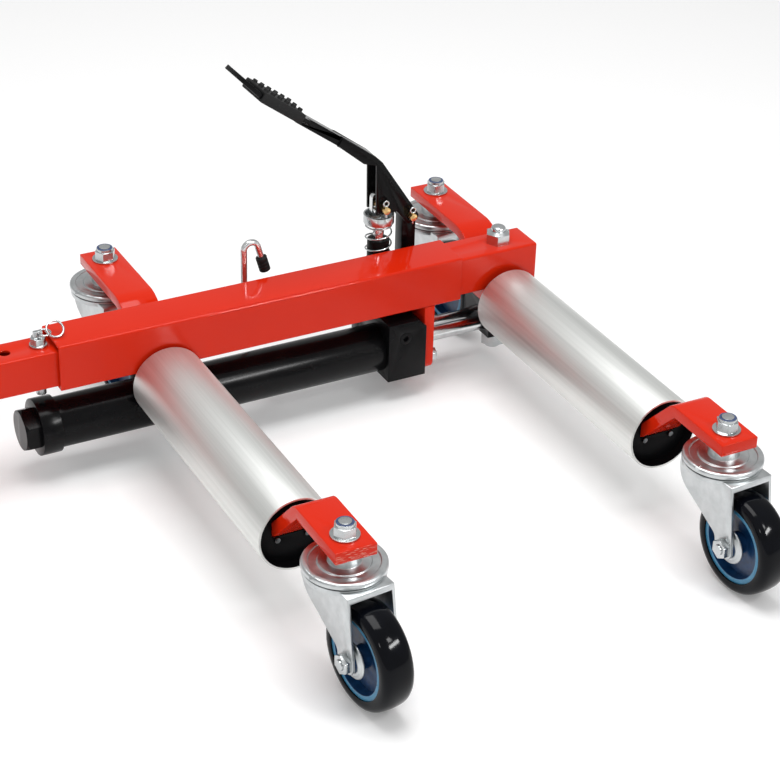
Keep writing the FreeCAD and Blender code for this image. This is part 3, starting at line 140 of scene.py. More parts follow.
def dressed(node, material, ease=0.0, steps=2):
    """Skin of a solid in one mesh, with its sharp edges broken as after deburring and coating."""
    pick(frame["nodes"][node])
    bpy.ops.object.duplicate()
    piece = bpy.context.active_object
    piece.name = node + "_skin"
    bpy.ops.mesh.customdata_custom_splitnormals_clear()
    open_mesh()
    bpy.ops.mesh.remove_doubles(threshold=merge_distance)
    bpy.ops.mesh.dissolve_limited(angle_limit=math.radians(flat_angle))
    bpy.ops.object.mode_set(mode="OBJECT")
    if ease:
        edge = piece.modifiers.new("edge", "BEVEL")
        edge.width, edge.segments, edge.limit_method = ease, steps, "ANGLE"
        edge.angle_limit = math.radians(sharp_angle)
        edge.use_clamp_overlap = False
        bpy.ops.object.modifier_apply(modifier="edge")
    bpy.ops.object.shade_smooth_by_angle(angle=math.radians(smooth_angle))
    piece.data.materials.clear()
    piece.data.materials.append(material)
    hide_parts(node)
    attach(piece, body_of_node[node])
    return piece


sawn_edge = 0.0009
for node in ("main_tube", "slide_tube", "cylinder_plate"):
    dressed(node, red_coat, sawn_edge, steps=3)

# Arms and rear brackets: 40 mm flat bar, bent hot and welded to the tubes, in the same red coat.
# The end face of the near left arm is scuffed where the jack was pushed against things.
bar_edge = 0.0008
for node in ("right_arm", "left_rear_bracket", "right_rear_bracket"):
    dressed(node, red_coat, bar_edge, steps=3)


def node_of(material, kind):
    """The only node of its kind in a material."""
    return next(node for node in material.node_tree.nodes if node.type == kind)


# The scuffs are pale scratches, 7 mm long and drawn 0.8 mm wide so that they show.
# They lie only on the end face, in the last 0.6 mm of the bar.
scuff_length, scuff_width, scuff_lean = 0.007, 0.0008, 18
scuff_start, scuff_full = 0.0006, 0.0002
scuffed_coat = red_coat.copy()
scuffed_coat.name = "scuffed_red_powder_coat"
tree = scuffed_coat.node_tree
place = {"Vector": (node_of(scuffed_coat, "TEX_COORD"), "Object")}
lay = add_node(tree, "ShaderNodeMapping", None,
               {"Rotation": (0, math.radians(scuff_lean), 0),
                "Scale": (1 / scuff_length, 1.0, 1 / scuff_width)}, place)
strokes = add_node(tree, "ShaderNodeTexNoise", None, {"Scale": 1.0, "Detail": 3.0}, {"Vector": (lay, "Vector")})
lines = add_node(tree, "ShaderNodeMapRange", None, {"From Min": 0.56, "From Max": 0.62},
                 {"Value": (strokes, "Fac")})
depth = add_node(tree, "ShaderNodeSeparateXYZ", None, None, place)
end_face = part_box("left_arm")[0][1]
face = add_node(tree, "ShaderNodeMapRange", None,
                {"From Min": end_face + scuff_start, "From Max": end_face + scuff_full},
                {"Value": (depth, "Y")})
both = add_node(tree, "ShaderNodeMath", {"operation": "MULTIPLY"})
tree.links.new(lines.outputs["Result"], both.inputs[0])
tree.links.new(face.outputs["Result"], both.inputs[1])
scuff = add_node(tree, "ShaderNodeMix", {"data_type": "RGBA"})
tree.links.new(both.outputs[0], scuff.inputs["Factor"])
tree.links.new(node_of(scuffed_coat, "VALTORGB").outputs["Color"], scuff.inputs[6])
scuff.inputs[7].default_value = linear("#DE8F7E")
tree.links.new(scuff.outputs[2], node_of(scuffed_coat, "BSDF_PRINCIPLED").inputs["Base Color"])
dressed("left_arm", scuffed_coat, bar_edge, steps=3)

# Weld beads: the rear brackets' legs and the cylinder plate are welded to the tubes by hand, before coating.
# Each bead is a row of puddles 2 mm apart, laid into the corner.
bead_end, bead_crest, bead_dip, bead_step = 0.0012, 0.0023, 0.0019, 0.001
bead_gap, bracket_bead = 0.002, 0.024
beads = []
for side, tube in (("left", "main_tube"), ("right", "slide_tube")):
    (left, back, foot), (right, _, _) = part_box(side + "_rear_bracket")
    start = max(foot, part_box(tube)[0][2]) + bead_gap
    body = body_of_node[side + "_rear_bracket"]
    for edge, x in (("left", left), ("right", right)):
        beads.append((f"{side}_bracket_weld_{edge}", body, (x, back, start), 0, bracket_bead))
(_, front, _), (right, back, top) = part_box("cylinder_plate")
beads.append(("plate_weld", body_of_node["cylinder_plate"], (right, front + bead_gap, top), -90,
              back - front - 2 * bead_gap))


def draw_up(foot, radius, rise, rings):
    """Extrude the selected ring upwards over a foot, to each further radius and rise in turn."""
    x, y, base = foot
    for next_radius, next_rise in rings:
        bpy.ops.mesh.extrude_region_move(TRANSFORM_OT_translate={"value": (0, 0, next_rise - rise)})
        share = next_radius / radius
        bpy.ops.transform.resize(value=(share, share, 1), center_override=(x, y, base + next_rise))
        radius, rise = next_radius, next_rise


def close_mesh(smooth):
    """Turn all faces outwards, leave edit mode and smooth faces that meet at less than an angle in degrees."""
    bpy.ops.mesh.select_all(action="SELECT")
    bpy.ops.mesh.normals_make_consistent(inside=False)
    bpy.ops.object.mode_set(mode="OBJECT")
    bpy.ops.object.shade_smooth_by_angle(angle=math.radians(smooth))


for name, body, start, lean, length in beads:
    bpy.ops.object.select_all(action="DESELECT")
    bpy.ops.mesh.primitive_circle_add(vertices=12, radius=bead_end, fill_type="NGON", location=(0, 0, 0))
    bead = bpy.context.active_object
    bead.name = name
    open_mesh()
    last = round(length / bead_step)
    ripples = [((bead_crest, bead_dip)[i % 2], i * bead_step) for i in range(1, last)]
    draw_up((0, 0, 0), bead_end, 0.0, [*ripples, (bead_end, last * bead_step)])
    close_mesh(smooth=80)
    bead.matrix_world = Matrix.Translation(start) @ Matrix.Rotation(math.radians(lean), 4, "X")
    bpy.ops.object.transform_apply(location=True, rotation=True, scale=True)
    bead.data.materials.append(red_coat)
    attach(bead, body)

# Roller bushes: moulded black nylon discs pressed into the roller ends and screwed to the arms.
# Nylon off a spark-eroded mould is matt with a fine grain, drawn at 0.8 mm so that it shows.
nylon, tree, out, place = new_finish("black_nylon")
grain = add_node(tree, "ShaderNodeTexNoise", None, {"Scale": 1 / 0.0008, "Detail": 2.0}, place)
film = add_node(tree, "ShaderNodeMapRange", None, {"To Min": 0.38, "To Max": 0.52}, {"Value": (grain, "Fac")})
skin = add_node(tree, "ShaderNodeBump", None, {"Strength": 0.12, "Distance": 0.0001},
                {"Height": (grain, "Fac")})
tint = add_node(tree, "ShaderNodeValToRGB", None, None, {"Fac": (grain, "Fac")})
shade_between(tint, 0.3, "#08080A", 0.7, "#0E0E10")
shader = add_node(tree, "ShaderNodeBsdfPrincipled", None, {"IOR": 1.53, "Specular IOR Level": 0.06},
                  {"Base Color": (tint, "Color"), "Roughness": (film, "Result"), "Normal": (skin, "Normal")})
tree.links.new(shader.outputs[0], out.inputs["Surface"])
turned_edge = 0.0004
for node in ("left_roller_bushes", "right_roller_bushes"):
    dressed(node, nylon, turned_edge)

# Rollers: drawn aluminium tube, sawn and faced, left bare.
# The die leaves lines along the tube, drawn 4 mm wide so that they show, and the gloss spreads in soft bands.
aluminium, tree, out, place = new_finish("drawn_aluminium")
line_width, line_length = 0.004, 0.5
draw = add_node(tree, "ShaderNodeMapping", None,
                {"Scale": (1 / line_width, 1 / line_length, 1 / line_width)}, place)
lines = add_node(tree, "ShaderNodeTexNoise", None, {"Scale": 1.0, "Detail": 6.0, "Roughness": 0.7},
                 {"Vector": (draw, "Vector")})
tint = add_node(tree, "ShaderNodeValToRGB", None, None, {"Fac": (lines, "Fac")})
shade_between(tint, 0.3, "#D6D8D5", 0.75, "#E8E9E7")
film = add_node(tree, "ShaderNodeMapRange", None, {"To Min": 0.45, "To Max": 0.57}, {"Value": (lines, "Fac")})
skin = add_node(tree, "ShaderNodeBump", None, {"Strength": 0.1, "Distance": 0.0002}, {"Height": (lines, "Fac")})
shader = add_node(tree, "ShaderNodeBsdfPrincipled", None, {"Metallic": 1.0},
                  {"Base Color": (tint, "Color"), "Roughness": (film, "Result"), "Normal": (skin, "Normal")})
tree.links.new(shader.outputs[0], out.inputs["Surface"])

# The 71 mm bores are given the bushes' black nylon all along, as painted shade for the dark insides of the
# tubes.
bore_edge = 0.0358
for node in ("left_roller", "right_roller"):
    roller = dressed(node, aluminium, turned_edge)
    # Second slot: black nylon on the bore faces, painted shade for the inside of the tube.
    roller.data.materials.append(nylon)
    (left, _, foot), (right, _, top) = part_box(node)
    x, z = (left + right) / 2, (foot + top) / 2
    for face in roller.data.polygons:
        corners = [roller.data.vertices[i].co for i in face.vertices]
        reach = sum(math.hypot(corner.x - x, corner.z - z) for corner in corners) / len(corners)
        face.material_index = int(reach < bore_edge)

# Casters and fasteners: pressed and turned steel, bright zinc plated and clear passivated.
# The plate is a cool white mirror, clouded over about 10 mm by the bath.
zinc, tree, out, place = new_finish("bright_zinc")
cloud = add_node(tree, "ShaderNodeTexNoise", None, {"Scale": 1 / 0.01, "Detail": 4.0}, place)
film = add_node(tree, "ShaderNodeMapRange", None, {"To Min": 0.16, "To Max": 0.32}, {"Value": (cloud, "Fac")})
tint = add_node(tree, "ShaderNodeValToRGB", None, None, {"Fac": (cloud, "Fac")})
shade_between(tint, 0.3, "#B7BBBC", 0.7, "#CBCECF")
skin = add_node(tree, "ShaderNodeBump", None, {"Strength": 0.04, "Distance": 0.0004},
                {"Height": (cloud, "Fac")})
shader = add_node(tree, "ShaderNodeBsdfPrincipled", None, {"Metallic": 1.0},
                  {"Base Color": (tint, "Color"), "Roughness": (film, "Result"), "Normal": (skin, "Normal")})
tree.links.new(shader.outputs[0], out.inputs["Surface"])
casters = ("near_left", "far_left", "near_right", "far_right")
head_edge, fork_edge, fine_edge = 0.0008, 0.0005, 0.0003

# The pressings are tumbled in a barrel before plating, so their zinc is duller than on the turned pieces.
pressed_zinc = zinc.copy()
pressed_zinc.name = "pressed_zinc"
film = node_of(pressed_zinc, "MAP_RANGE")
film.inputs["To Min"].default_value, film.inputs["To Max"].default_value = 0.26, 0.4
for node in ("left_caster_heads", "right_caster_heads"):
    dressed(node, pressed_zinc, head_edge, steps=3)
for caster in casters:
    dressed(caster + "_fork", pressed_zinc, fork_edge)
for node in ("left_caster_fasteners", "right_caster_fasteners", *[caster + "_axle" for caster in casters]):
    dressed(node, zinc, fine_edge)

# The small screws in the bushes are turned steel; their bright zinc is darkened as painted shade for the
# recesses they sit in.
shaded_screw_zinc = zinc.copy()
shaded_screw_zinc.name = "shaded_screw_zinc"
shade_between(node_of(shaded_screw_zinc, "VALTORGB"), 0.3, "#4C4D4E", 0.7, "#66686A")
for node in ("left_bush_screws", "right_bush_screws"):
    dressed(node, shaded_screw_zinc, fine_edge)

# Arm bolt: a zinc plated bolt down through the slide tube's end, with a hexagon on top.
# The tip of its shank stands above the hexagon, rounded in the lathe.
dressed("arm_bolt", zinc)
(left, front, _), (right, back, top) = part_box("arm_bolt")
x, y = (left + right) / 2, (front + back) / 2
tip_radius, tip_foot = 0.0080, -0.0005
tip_rings = ((0.0080, 0.0020), (0.0077, 0.0030), (0.0068, 0.0040), (0.0052, 0.0048), (0.0028, 0.0052))
bpy.ops.object.select_all(action="DESELECT")
bpy.ops.mesh.primitive_circle_add(vertices=48, radius=tip_radius, fill_type="NGON",
                                  location=(x, y, top + tip_foot))
bolt_end = bpy.context.active_object
bolt_end.name = "arm_bolt_end"
bpy.ops.object.transform_apply(location=True, rotation=True, scale=True)
open_mesh()
draw_up((x, y, top), tip_radius, tip_foot, tip_rings)
close_mesh(smooth=40)
bolt_end.data.materials.append(zinc)
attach(bolt_end, body_of_node["arm_bolt"])

# Lock rings of the stem nuts: a nylon washer crimped in the nut's collar, which grips the thread.
# Dyed a greyish blue and left as moulded, so satin.
dyed_nylon, tree, out, place = new_finish("dyed_blue_nylon")
mottle = add_node(tree, "ShaderNodeTexNoise", None, {"Scale": 1 / 0.002, "Detail": 2.0}, place)
tint = add_node(tree, "ShaderNodeValToRGB", None, None, {"Fac": (mottle, "Fac")})
shade_between(tint, 0.3, "#2A3B60", 0.7, "#3A4E78")
film = add_node(tree, "ShaderNodeMapRange", None, {"To Min": 0.35, "To Max": 0.5}, {"Value": (mottle, "Fac")})
shader = add_node(tree, "ShaderNodeBsdfPrincipled", None, {"IOR": 1.53},
                  {"Base Color": (tint, "Color"), "Roughness": (film, "Result")})
tree.links.new(shader.outputs[0], out.inputs["Surface"])
stem_spots = {"near_left": (-0.0678, -0.2542), "far_left": (-0.0678, 0.3091),
              "near_right": (0.3286, -0.2542), "far_right": (0.3286, 0.3091)}
collar_top, ring_radius, ring_wire, ring_flatness, ring_sink = 0.1644, 0.0071, 0.0011, 0.55, 0.0002
for caster, (x, y) in stem_spots.items():
    bpy.ops.object.select_all(action="DESELECT")
    bpy.ops.mesh.primitive_torus_add(major_radius=ring_radius, minor_radius=ring_wire, major_segments=48,
                                     minor_segments=12, location=(x, y, collar_top))
    lock_ring = bpy.context.active_object
    lock_ring.name = caster + "_lock_ring"
    bpy.ops.object.transform_apply(location=True, rotation=True, scale=True)
    open_mesh()
    bpy.ops.transform.resize(value=(1, 1, ring_flatness), center_override=(x, y, collar_top))
    bpy.ops.mesh.bisect(plane_co=(x, y, collar_top - ring_sink), plane_no=(0, 0, 1), use_fill=True,
                        clear_inner=True)
    bpy.ops.object.mode_set(mode="OBJECT")
    bpy.ops.object.shade_smooth_by_angle(angle=math.radians(50))
    lock_ring.data.materials.append(dyed_nylon)
    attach(lock_ring, "frame" if caster.endswith("left") else "slide")

# Wheels: a polyurethane tyre cast on a blue nylon centre.
# Cast polyurethane is nearly black with a blue cast, and glossy off the mould.
tyre_skin, tree, out, place = new_finish("cast_polyurethane")
flow = add_node(tree, "ShaderNodeTexNoise", None, {"Scale": 1 / 0.02, "Detail": 3.0}, place)
tint = add_node(tree, "ShaderNodeValToRGB", None, None, {"Fac": (flow, "Fac")})
shade_between(tint, 0.3, "#05060A", 0.7, "#090B11")
film = add_node(tree, "ShaderNodeMapRange", None, {"To Min": 0.07, "To Max": 0.13}, {"Value": (flow, "Fac")})
skin = add_node(tree, "ShaderNodeBump", None, {"Strength": 0.03, "Distance": 0.0005}, {"Height": (flow, "Fac")})
shader = add_node(tree, "ShaderNodeBsdfPrincipled", None, {"IOR": 1.5, "Specular IOR Level": 0.13},
                  {"Base Color": (tint, "Color"), "Roughness": (film, "Result"), "Normal": (skin, "Normal")})
tree.links.new(shader.outputs[0], out.inputs["Surface"])

# The centre is moulded nylon: a teal outer ring, and navy inside it, the same nylon darkened as painted shade
# where the mould is deep.
rim_finishes = []
for name, dark, light in (("teal_nylon", "#2F7397", "#3A82A6"), ("navy_recess_shade", "#0A2C50", "#113F6C")):
    rim_finish, tree, out, place = new_finish(name)
    mottle = add_node(tree, "ShaderNodeTexNoise", None, {"Scale": 1 / 0.006, "Detail": 3.0}, place)
    tint = add_node(tree, "ShaderNodeValToRGB", None, None, {"Fac": (mottle, "Fac")})
    shade_between(tint, 0.3, dark, 0.7, light)
    film = add_node(tree, "ShaderNodeMapRange", None, {"To Min": 0.24, "To Max": 0.36},
                    {"Value": (mottle, "Fac")})
    shader = add_node(tree, "ShaderNodeBsdfPrincipled", None, {"IOR": 1.53},
                      {"Base Color": (tint, "Color"), "Roughness": (film, "Result")})
    tree.links.new(shader.outputs[0], out.inputs["Surface"])
    rim_finishes.append(rim_finish)

# The tyre's section, from one bead over the crowned tread to the other: (along the axle, radius) in metres.
half_section = ((-0.0156, 0.0386), (-0.0160, 0.0394), (-0.0160, 0.0430), (-0.0155, 0.0456),
                (-0.0142, 0.0478), (-0.0120, 0.0494), (-0.0090, 0.05035), (-0.0045, 0.05085))
crown = (0.0, 0.0510)
section = (*half_section, crown, *[(-along, radius) for along, radius in reversed(half_section)])
bpy.ops.object.select_all(action="DESELECT")
bpy.ops.mesh.primitive_plane_add(size=0.001, location=(0, 0, 0))
tyre = bpy.context.active_object
open_mesh()
bpy.ops.mesh.merge(type="CENTER")
bpy.ops.transform.translate(value=(section[0][0], 0, section[0][1]))
for (along, radius), (next_along, next_radius) in zip(section, section[1:]):
    step = (next_along - along, 0, next_radius - radius)
    bpy.ops.mesh.extrude_region_move(TRANSFORM_OT_translate={"value": step})
bpy.ops.mesh.select_all(action="SELECT")
bpy.ops.mesh.edge_face_add()
bpy.ops.mesh.delete(type="ONLY_FACE")
bpy.ops.mesh.select_all(action="SELECT")
bpy.ops.mesh.spin(steps=96, angle=2 * math.pi, center=(0, 0, 0), axis=(1, 0, 0))
bpy.ops.mesh.select_all(action="SELECT")
bpy.ops.mesh.remove_doubles(threshold=merge_distance)
close_mesh(smooth=35)
tyre.data.materials.append(tyre_skin)

# Each wheel stands at its own heading in degrees, and its centre is teal outside a radius of 34.5 mm.
ring_inner, rim_edge = 0.0345, 0.0004
headings = {"near_left": 6, "far_left": 5, "near_right": 4, "far_right": 5}
for i, caster in enumerate(casters):
    low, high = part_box(caster + "_rim")
    middle = (Vector(low) + Vector(high)) / 2
    turn = math.radians(headings[caster])
    pick(tyre)
    if i < len(casters) - 1:
        bpy.ops.object.duplicate()
    cast_tyre = bpy.context.active_object
    cast_tyre.name = caster + "_cast_tyre"
    cast_tyre.matrix_world = Matrix.Translation(middle) @ Matrix.Rotation(turn, 4, "Z")
    bpy.ops.object.transform_apply(location=True, rotation=True, scale=True)
    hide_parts(caster + "_tyre")
    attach(cast_tyre, body_of_node[caster + "_tyre"])
    rim = dressed(caster + "_rim", rim_finishes[0], rim_edge)
    # Faces inside the ring take the navy, as painted shade for the deep recess.
    rim.data.materials.append(rim_finishes[1])
    axle = Vector((math.cos(turn), math.sin(turn), 0))
    for face in rim.data.polygons:
        arms = [rim.data.vertices[corner].co - middle for corner in face.vertices]
        reach = sum((arm - axle * arm.dot(axle)).length for arm in arms) / len(arms)
        face.material_index = int(reach < ring_inner)

# Dust covers: shallow zinc dishes pressed over both ends of each hub, close to the fork.
# Each is drawn in one stroke from sheet, with a rolled edge and a flat lip round the axle.
dish_radius, dish_foot, sheet, rolled_edge = 0.0175, 0.0158, 0.0006, 0.0003
dish_rings = ((0.0180, 0.0166), (0.0178, 0.0176), (0.0168, 0.0184), (0.0150, 0.0188),
              (0.0140, 0.0198), (0.0130, 0.0203), (0.0112, 0.0203))
bpy.ops.object.select_all(action="DESELECT")
bpy.ops.mesh.primitive_circle_add(vertices=64, radius=dish_radius, location=(0, 0, 0))
dish = bpy.context.active_object
open_mesh()
bpy.ops.transform.translate(value=(0, 0, dish_foot))
draw_up((0, 0, 0), dish_radius, dish_foot, dish_rings)
bpy.ops.mesh.select_all(action="SELECT")
bpy.ops.mesh.normals_make_consistent(inside=False)
bpy.ops.object.mode_set(mode="OBJECT")
wall = dish.modifiers.new("wall", "SOLIDIFY")
wall.thickness, wall.offset = sheet, -1
bpy.ops.object.modifier_apply(modifier="wall")
soften = dish.modifiers.new("soften", "BEVEL")
soften.width, soften.segments = rolled_edge, 2
soften.limit_method, soften.angle_limit = "ANGLE", math.radians(25)
bpy.ops.object.modifier_apply(modifier="soften")
bpy.ops.object.shade_smooth_by_angle(angle=math.radians(45))
dish.data.materials.append(pressed_zinc)
wheel_bodies = {caster: body_of_node[caster + "_rim"] for caster in casters}
covers = [(caster, side) for caster in casters for side in (1, -1)]
for i, (caster, side) in enumerate(covers):
    low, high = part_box(caster + "_rim")
    middle = (Vector(low) + Vector(high)) / 2
    pick(dish)
    if i < len(covers) - 1:
        bpy.ops.object.duplicate()
    cover = bpy.context.active_object
    cover.name = f"{caster}_dust_cover_{'right' if side > 0 else 'left'}"
    cover.matrix_world = (Matrix.Translation(middle) @ Matrix.Rotation(math.radians(headings[caster]), 4, "Z")
                          @ Matrix.Rotation(math.radians(90 * side), 4, "Y"))
    bpy.ops.object.transform_apply(location=True, rotation=True, scale=True)
    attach(cover, wheel_bodies[caster])

# Cylinder, pump block and pedal: steel in black enamel, brushed on thick, with a soft sheen.
# The film is a little uneven over 20 mm and holds fine dust, drawn at 1.2 mm so that it shows.
black_enamel, tree, out, place = new_finish("black_enamel")
cloud = add_node(tree, "ShaderNodeTexNoise", None, {"Scale": 1 / 0.02, "Detail": 4.0}, place)
film = add_node(tree, "ShaderNodeMapRange", None, {"To Min": 0.18, "To Max": 0.27}, {"Value": (cloud, "Fac")})
tint = add_node(tree, "ShaderNodeValToRGB", None, None, {"Fac": (cloud, "Fac")})
shade_between(tint, 0.3, "#08080A", 0.7, "#0D0D0E")
grit = add_node(tree, "ShaderNodeTexNoise", None, {"Scale": 1 / 0.0012, "Detail": 2.0}, place)
skin = add_node(tree, "ShaderNodeBump", None, {"Strength": 0.06, "Distance": 0.0002}, {"Height": (grit, "Fac")})
shader = add_node(tree, "ShaderNodeBsdfPrincipled", None, {"IOR": 1.5, "Specular IOR Level": 0.12},
                  {"Base Color": (tint, "Color"), "Roughness": (film, "Result"), "Normal": (skin, "Normal")})
tree.links.new(shader.outputs[0], out.inputs["Surface"])
painted_edge = 0.0006
for node in ("cylinder_tube", "cylinder_collar", "pump_block", "pump_barrel", "pedal_post", "pedal_lever",
             "crosshead"):
    dressed(node, black_enamel, painted_edge)
dressed("cylinder_end_nut", black_enamel)

# The plug in the block's front is enamelled with it, and the bolt ends beyond the plate are zinc plated.
bolt_reach = 0.02
screws = dressed("block_screws", zinc, fine_edge)
screws.data.materials.append(black_enamel)
for face in screws.data.polygons:
    face.material_index = int(face.center.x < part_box("pump_block")[1][0] - bolt_reach)

# Piston rod, guide rod, plunger and release lever: ground steel bar with hard chrome.
# Chrome over a ground bar is a neutral mirror with very fine grinding haze, in bands about 5 mm wide.
chrome, tree, out, place = new_finish("hard_chrome")
haze = add_node(tree, "ShaderNodeTexNoise", None, {"Scale": 1 / 0.005, "Detail": 5.0}, place)
film = add_node(tree, "ShaderNodeMapRange", None, {"To Min": 0.16, "To Max": 0.28}, {"Value": (haze, "Fac")})
tint = add_node(tree, "ShaderNodeValToRGB", None, None, {"Fac": (haze, "Fac")})
shade_between(tint, 0.3, "#D0D2D3", 0.7, "#E2E3E4")
shader = add_node(tree, "ShaderNodeBsdfPrincipled", None, {"Metallic": 1.0},
                  {"Base Color": (tint, "Color"), "Roughness": (film, "Result")})
tree.links.new(shader.outputs[0], out.inputs["Surface"])
for node in ("piston_rod", "piston", "guide_rod", "pump_plunger", "release_lever"):
    dressed(node, chrome, fine_edge)
dressed("spring_cup", zinc, fine_edge)

# Pump spring: 1.9 mm round wire, coiled cold with close end turns, zinc plated.
# It stands on the barrel's shoulder, and in the jack it shortens as the pedal pushes the cup down; here it is
# one fixed coil on the frame.
wire, coil_radius = 0.0019, 0.0138
coil_centre, coil_low, coil_high = (0.2060, 0.2135), 0.1282, 0.1798
end_pitch, coil_turns, seam = 0.0026, 5.5, 1e-5
middle_rise = coil_high - coil_low - 2 * end_pitch
runs = ((0.0, 1.0, coil_low, end_pitch), (0.0, coil_turns - 2, coil_low + end_pitch, middle_rise),
        (coil_turns - 2, 1.0, coil_high - end_pitch, end_pitch))
lengths = []
for start, turns, base, rise in runs:
    bpy.ops.object.select_all(action="DESELECT")
    bpy.ops.mesh.primitive_circle_add(vertices=12, radius=wire / 2, location=(0, 0, 0),
                                      rotation=(math.pi / 2, 0, 0))
    length = bpy.context.active_object
    bpy.ops.object.transform_apply(location=False, rotation=True, scale=True)
    open_mesh()
    bpy.ops.transform.translate(value=(coil_radius, 0, 0))
    bpy.ops.object.mode_set(mode="OBJECT")
    length.rotation_euler = (0, 0, 2 * math.pi * start)
    bpy.ops.object.transform_apply(location=False, rotation=True, scale=True)
    wind = length.modifiers.new("wind", "SCREW")
    wind.axis, wind.angle, wind.screw_offset, wind.iterations = "Z", 2 * math.pi * turns, rise, 1
    wind.steps = wind.render_steps = round(48 * turns)
    wind.use_merge_vertices = False
    bpy.ops.object.modifier_apply(modifier="wind")
    length.location = (*coil_centre, base)
    bpy.ops.object.transform_apply(location=True, rotation=True, scale=True)
    lengths.append(length)
bpy.ops.object.select_all(action="DESELECT")
for length in lengths:
    length.select_set(True)
spring = lengths[0]
bpy.context.view_layer.objects.active = spring
bpy.ops.object.join()
spring.name = "pump_spring_wire"
open_mesh()
bpy.ops.mesh.remove_doubles(threshold=seam)
bpy.ops.mesh.select_all(action="DESELECT")
bpy.ops.mesh.select_mode(type="EDGE")
bpy.ops.mesh.select_non_manifold()
bpy.ops.mesh.edge_face_add()
close_mesh(smooth=50)
spring.data.materials.append(zinc)
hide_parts("pump_spring")
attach(spring, "frame")
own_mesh(spring)

# Pedal pins: turned steel with yellow passivated zinc, held by bright zinc split pins.
# The passivation gives a golden film with faint drifts of colour, about 3 mm wide.
yellow_zinc, tree, out, place = new_finish("yellow_zinc")
cloud = add_node(tree, "ShaderNodeTexNoise", None, {"Scale": 1 / 0.003, "Detail": 3.0}, place)
tint = add_node(tree, "ShaderNodeValToRGB", None, None, {"Fac": (cloud, "Fac")})
shade_between(tint, 0.3, "#C9A062", 0.7, "#E0C492")
film = add_node(tree, "ShaderNodeMapRange", None, {"To Min": 0.18, "To Max": 0.34}, {"Value": (cloud, "Fac")})
shader = add_node(tree, "ShaderNodeBsdfPrincipled", None, {"Metallic": 1.0},
                  {"Base Color": (tint, "Color"), "Roughness": (film, "Result")})
tree.links.new(shader.outputs[0], out.inputs["Surface"])
for node in ("pivot_pin", "link_pin"):
    dressed(node, yellow_zinc, fine_edge)
dressed("pin_clips", zinc)

# Pedal pad and release grip: moulded black rubber, stretched over the foot plate and the lever's end.
# Rubber from a blasted mould is matt, with a grain drawn at 0.6 mm so that it shows.
rubber, tree, out, place = new_finish("moulded_rubber")
grain = add_node(tree, "ShaderNodeTexNoise", None, {"Scale": 1 / 0.0006, "Detail": 2.0}, place)
tint = add_node(tree, "ShaderNodeValToRGB", None, None, {"Fac": (grain, "Fac")})
shade_between(tint, 0.3, "#0B0B0C", 0.7, "#151516")
film = add_node(tree, "ShaderNodeMapRange", None, {"To Min": 0.5, "To Max": 0.66}, {"Value": (grain, "Fac")})
skin = add_node(tree, "ShaderNodeBump", None, {"Strength": 0.2, "Distance": 0.0001}, {"Height": (grain, "Fac")})
shader = add_node(tree, "ShaderNodeBsdfPrincipled", None, {"IOR": 1.52, "Specular IOR Level": 0.25},
                  {"Base Color": (tint, "Color"), "Roughness": (film, "Result"), "Normal": (skin, "Normal")})
tree.links.new(shader.outputs[0], out.inputs["Surface"])
for node in ("pedal_pad", "release_grip"):
    dressed(node, rubber, fine_edge)

# Lock bar: perforated square tube in the red coat, with a nylon cap in its free end.
# A zinc plated pin with two split rings drops through one of its holes.
drilled_edge = 0.0007
dressed("lock_bar", red_coat, drilled_edge, steps=3)
dressed("lock_bar_cap", nylon, turned_edge)
dressed("lock_pin", zinc, fine_edge)
dressed("lock_pin_rings", zinc)

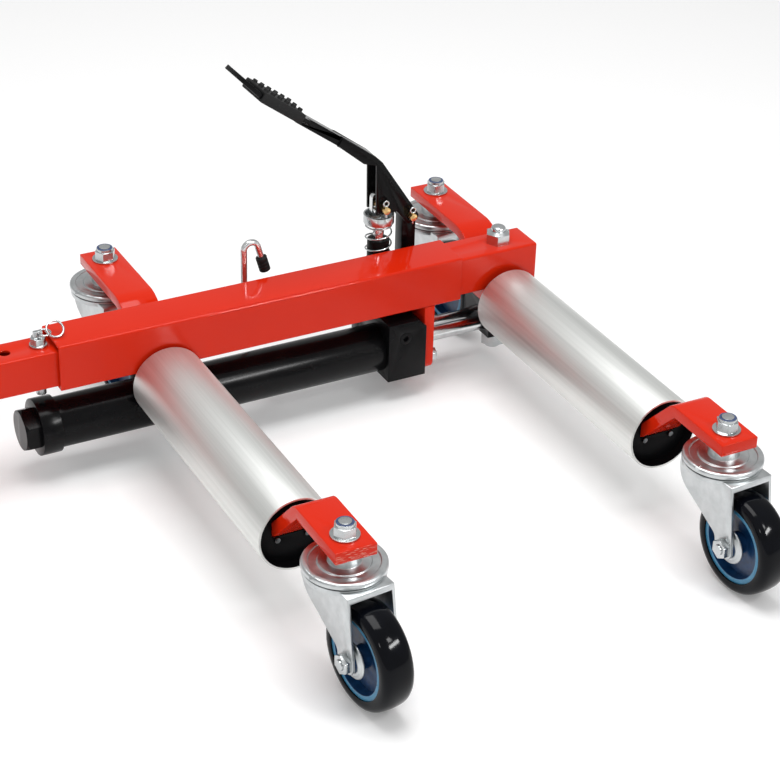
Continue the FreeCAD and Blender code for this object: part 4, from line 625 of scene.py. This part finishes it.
# Studio: a white paper floor under one broad overhead softbox, with two small ones in front.
# A low strip on the right shows only in gloss, as the long light along the cylinder.
# The camera stands where the photograph was taken from.
floor_size, floor_glow, sky_light = 24, 0.12, 0.55
bpy.context.scene.view_settings.view_transform = "Standard"
bpy.ops.object.select_all(action="DESELECT")
bpy.ops.mesh.primitive_plane_add(size=floor_size, location=(0, 0, 0))
floor = bpy.context.active_object
floor.name = "studio_floor"
paper, tree, out, place = new_finish("white_paper")
fibre = add_node(tree, "ShaderNodeTexNoise", None, {"Scale": 1 / 0.004, "Detail": 3.0}, place)
tint = add_node(tree, "ShaderNodeValToRGB", None, None, {"Fac": (fibre, "Fac")})
shade_between(tint, 0.3, "#F3F3F3", 0.7, "#F7F7F7")
shader = add_node(tree, "ShaderNodeBsdfPrincipled", None,
                  {"Roughness": 0.9, "Emission Color": linear("#FFFFFF"), "Emission Strength": floor_glow},
                  {"Base Color": (tint, "Color")})
tree.links.new(shader.outputs[0], out.inputs["Surface"])
floor.data.materials.append(paper)
floor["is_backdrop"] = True

world = bpy.context.scene.world or bpy.data.worlds.new("studio")
bpy.context.scene.world = world
world.use_nodes = True
sky = world.node_tree.nodes["Background"]
sky.inputs["Color"].default_value, sky.inputs["Strength"].default_value = linear("#FFFFFF"), sky_light


def softbox(name, spot, target, size, power):
    """A broad diffused lamp aimed at a point."""
    light = bpy.data.lights.new(name, "AREA")
    light.shape, light.size, light.size_y, light.energy = "RECTANGLE", size[0], size[1], power
    lamp = bpy.data.objects.new(name, light)
    bpy.context.collection.objects.link(lamp)
    lamp.location = spot
    lamp.rotation_euler = (Vector(target) - Vector(spot)).to_track_quat("-Z", "Y").to_euler()
    return lamp


jack_middle = (0, 0, 0.1)
softbox("overhead_softbox", (0, 0, 2.3), (0, 0, 0), (1.3, 1.3), 32)
softbox("left_softbox", (-1.5, -1.7, 1.6), jack_middle, (0.14, 0.28), 4)
softbox("right_softbox", (0.85, -1.5, 1.8), jack_middle, (0.3, 0.3), 5)
strip = softbox("strip_softbox", (0.95, -1.55, 1.3), jack_middle, (0.8, 0.2), 26)
strip.visible_diffuse = False

camera_spot, camera_roll, focal_length, film_width = (-0.7549, -1.5919, 1.1918), math.radians(1.70), 98.70, 36.0
right, up = Vector((0.8787, -0.4773, 0)), Vector((0.2445, 0.4501, 0.8589))
back = Vector((-0.4100, -0.7547, 0.5122))
side = right * math.cos(camera_roll) + up * math.sin(camera_roll)
top = up * math.cos(camera_roll) - right * math.sin(camera_roll)
lens = bpy.data.cameras.new("photo_camera")
lens.sensor_fit, lens.sensor_width, lens.lens = "HORIZONTAL", film_width, focal_length
camera = bpy.data.objects.new("photo_camera", lens)
bpy.context.collection.objects.link(camera)
pose = Matrix((side, top, back)).transposed().to_4x4()
pose.translation = camera_spot
camera.matrix_world = pose
bpy.context.scene.camera = camera

low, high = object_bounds()
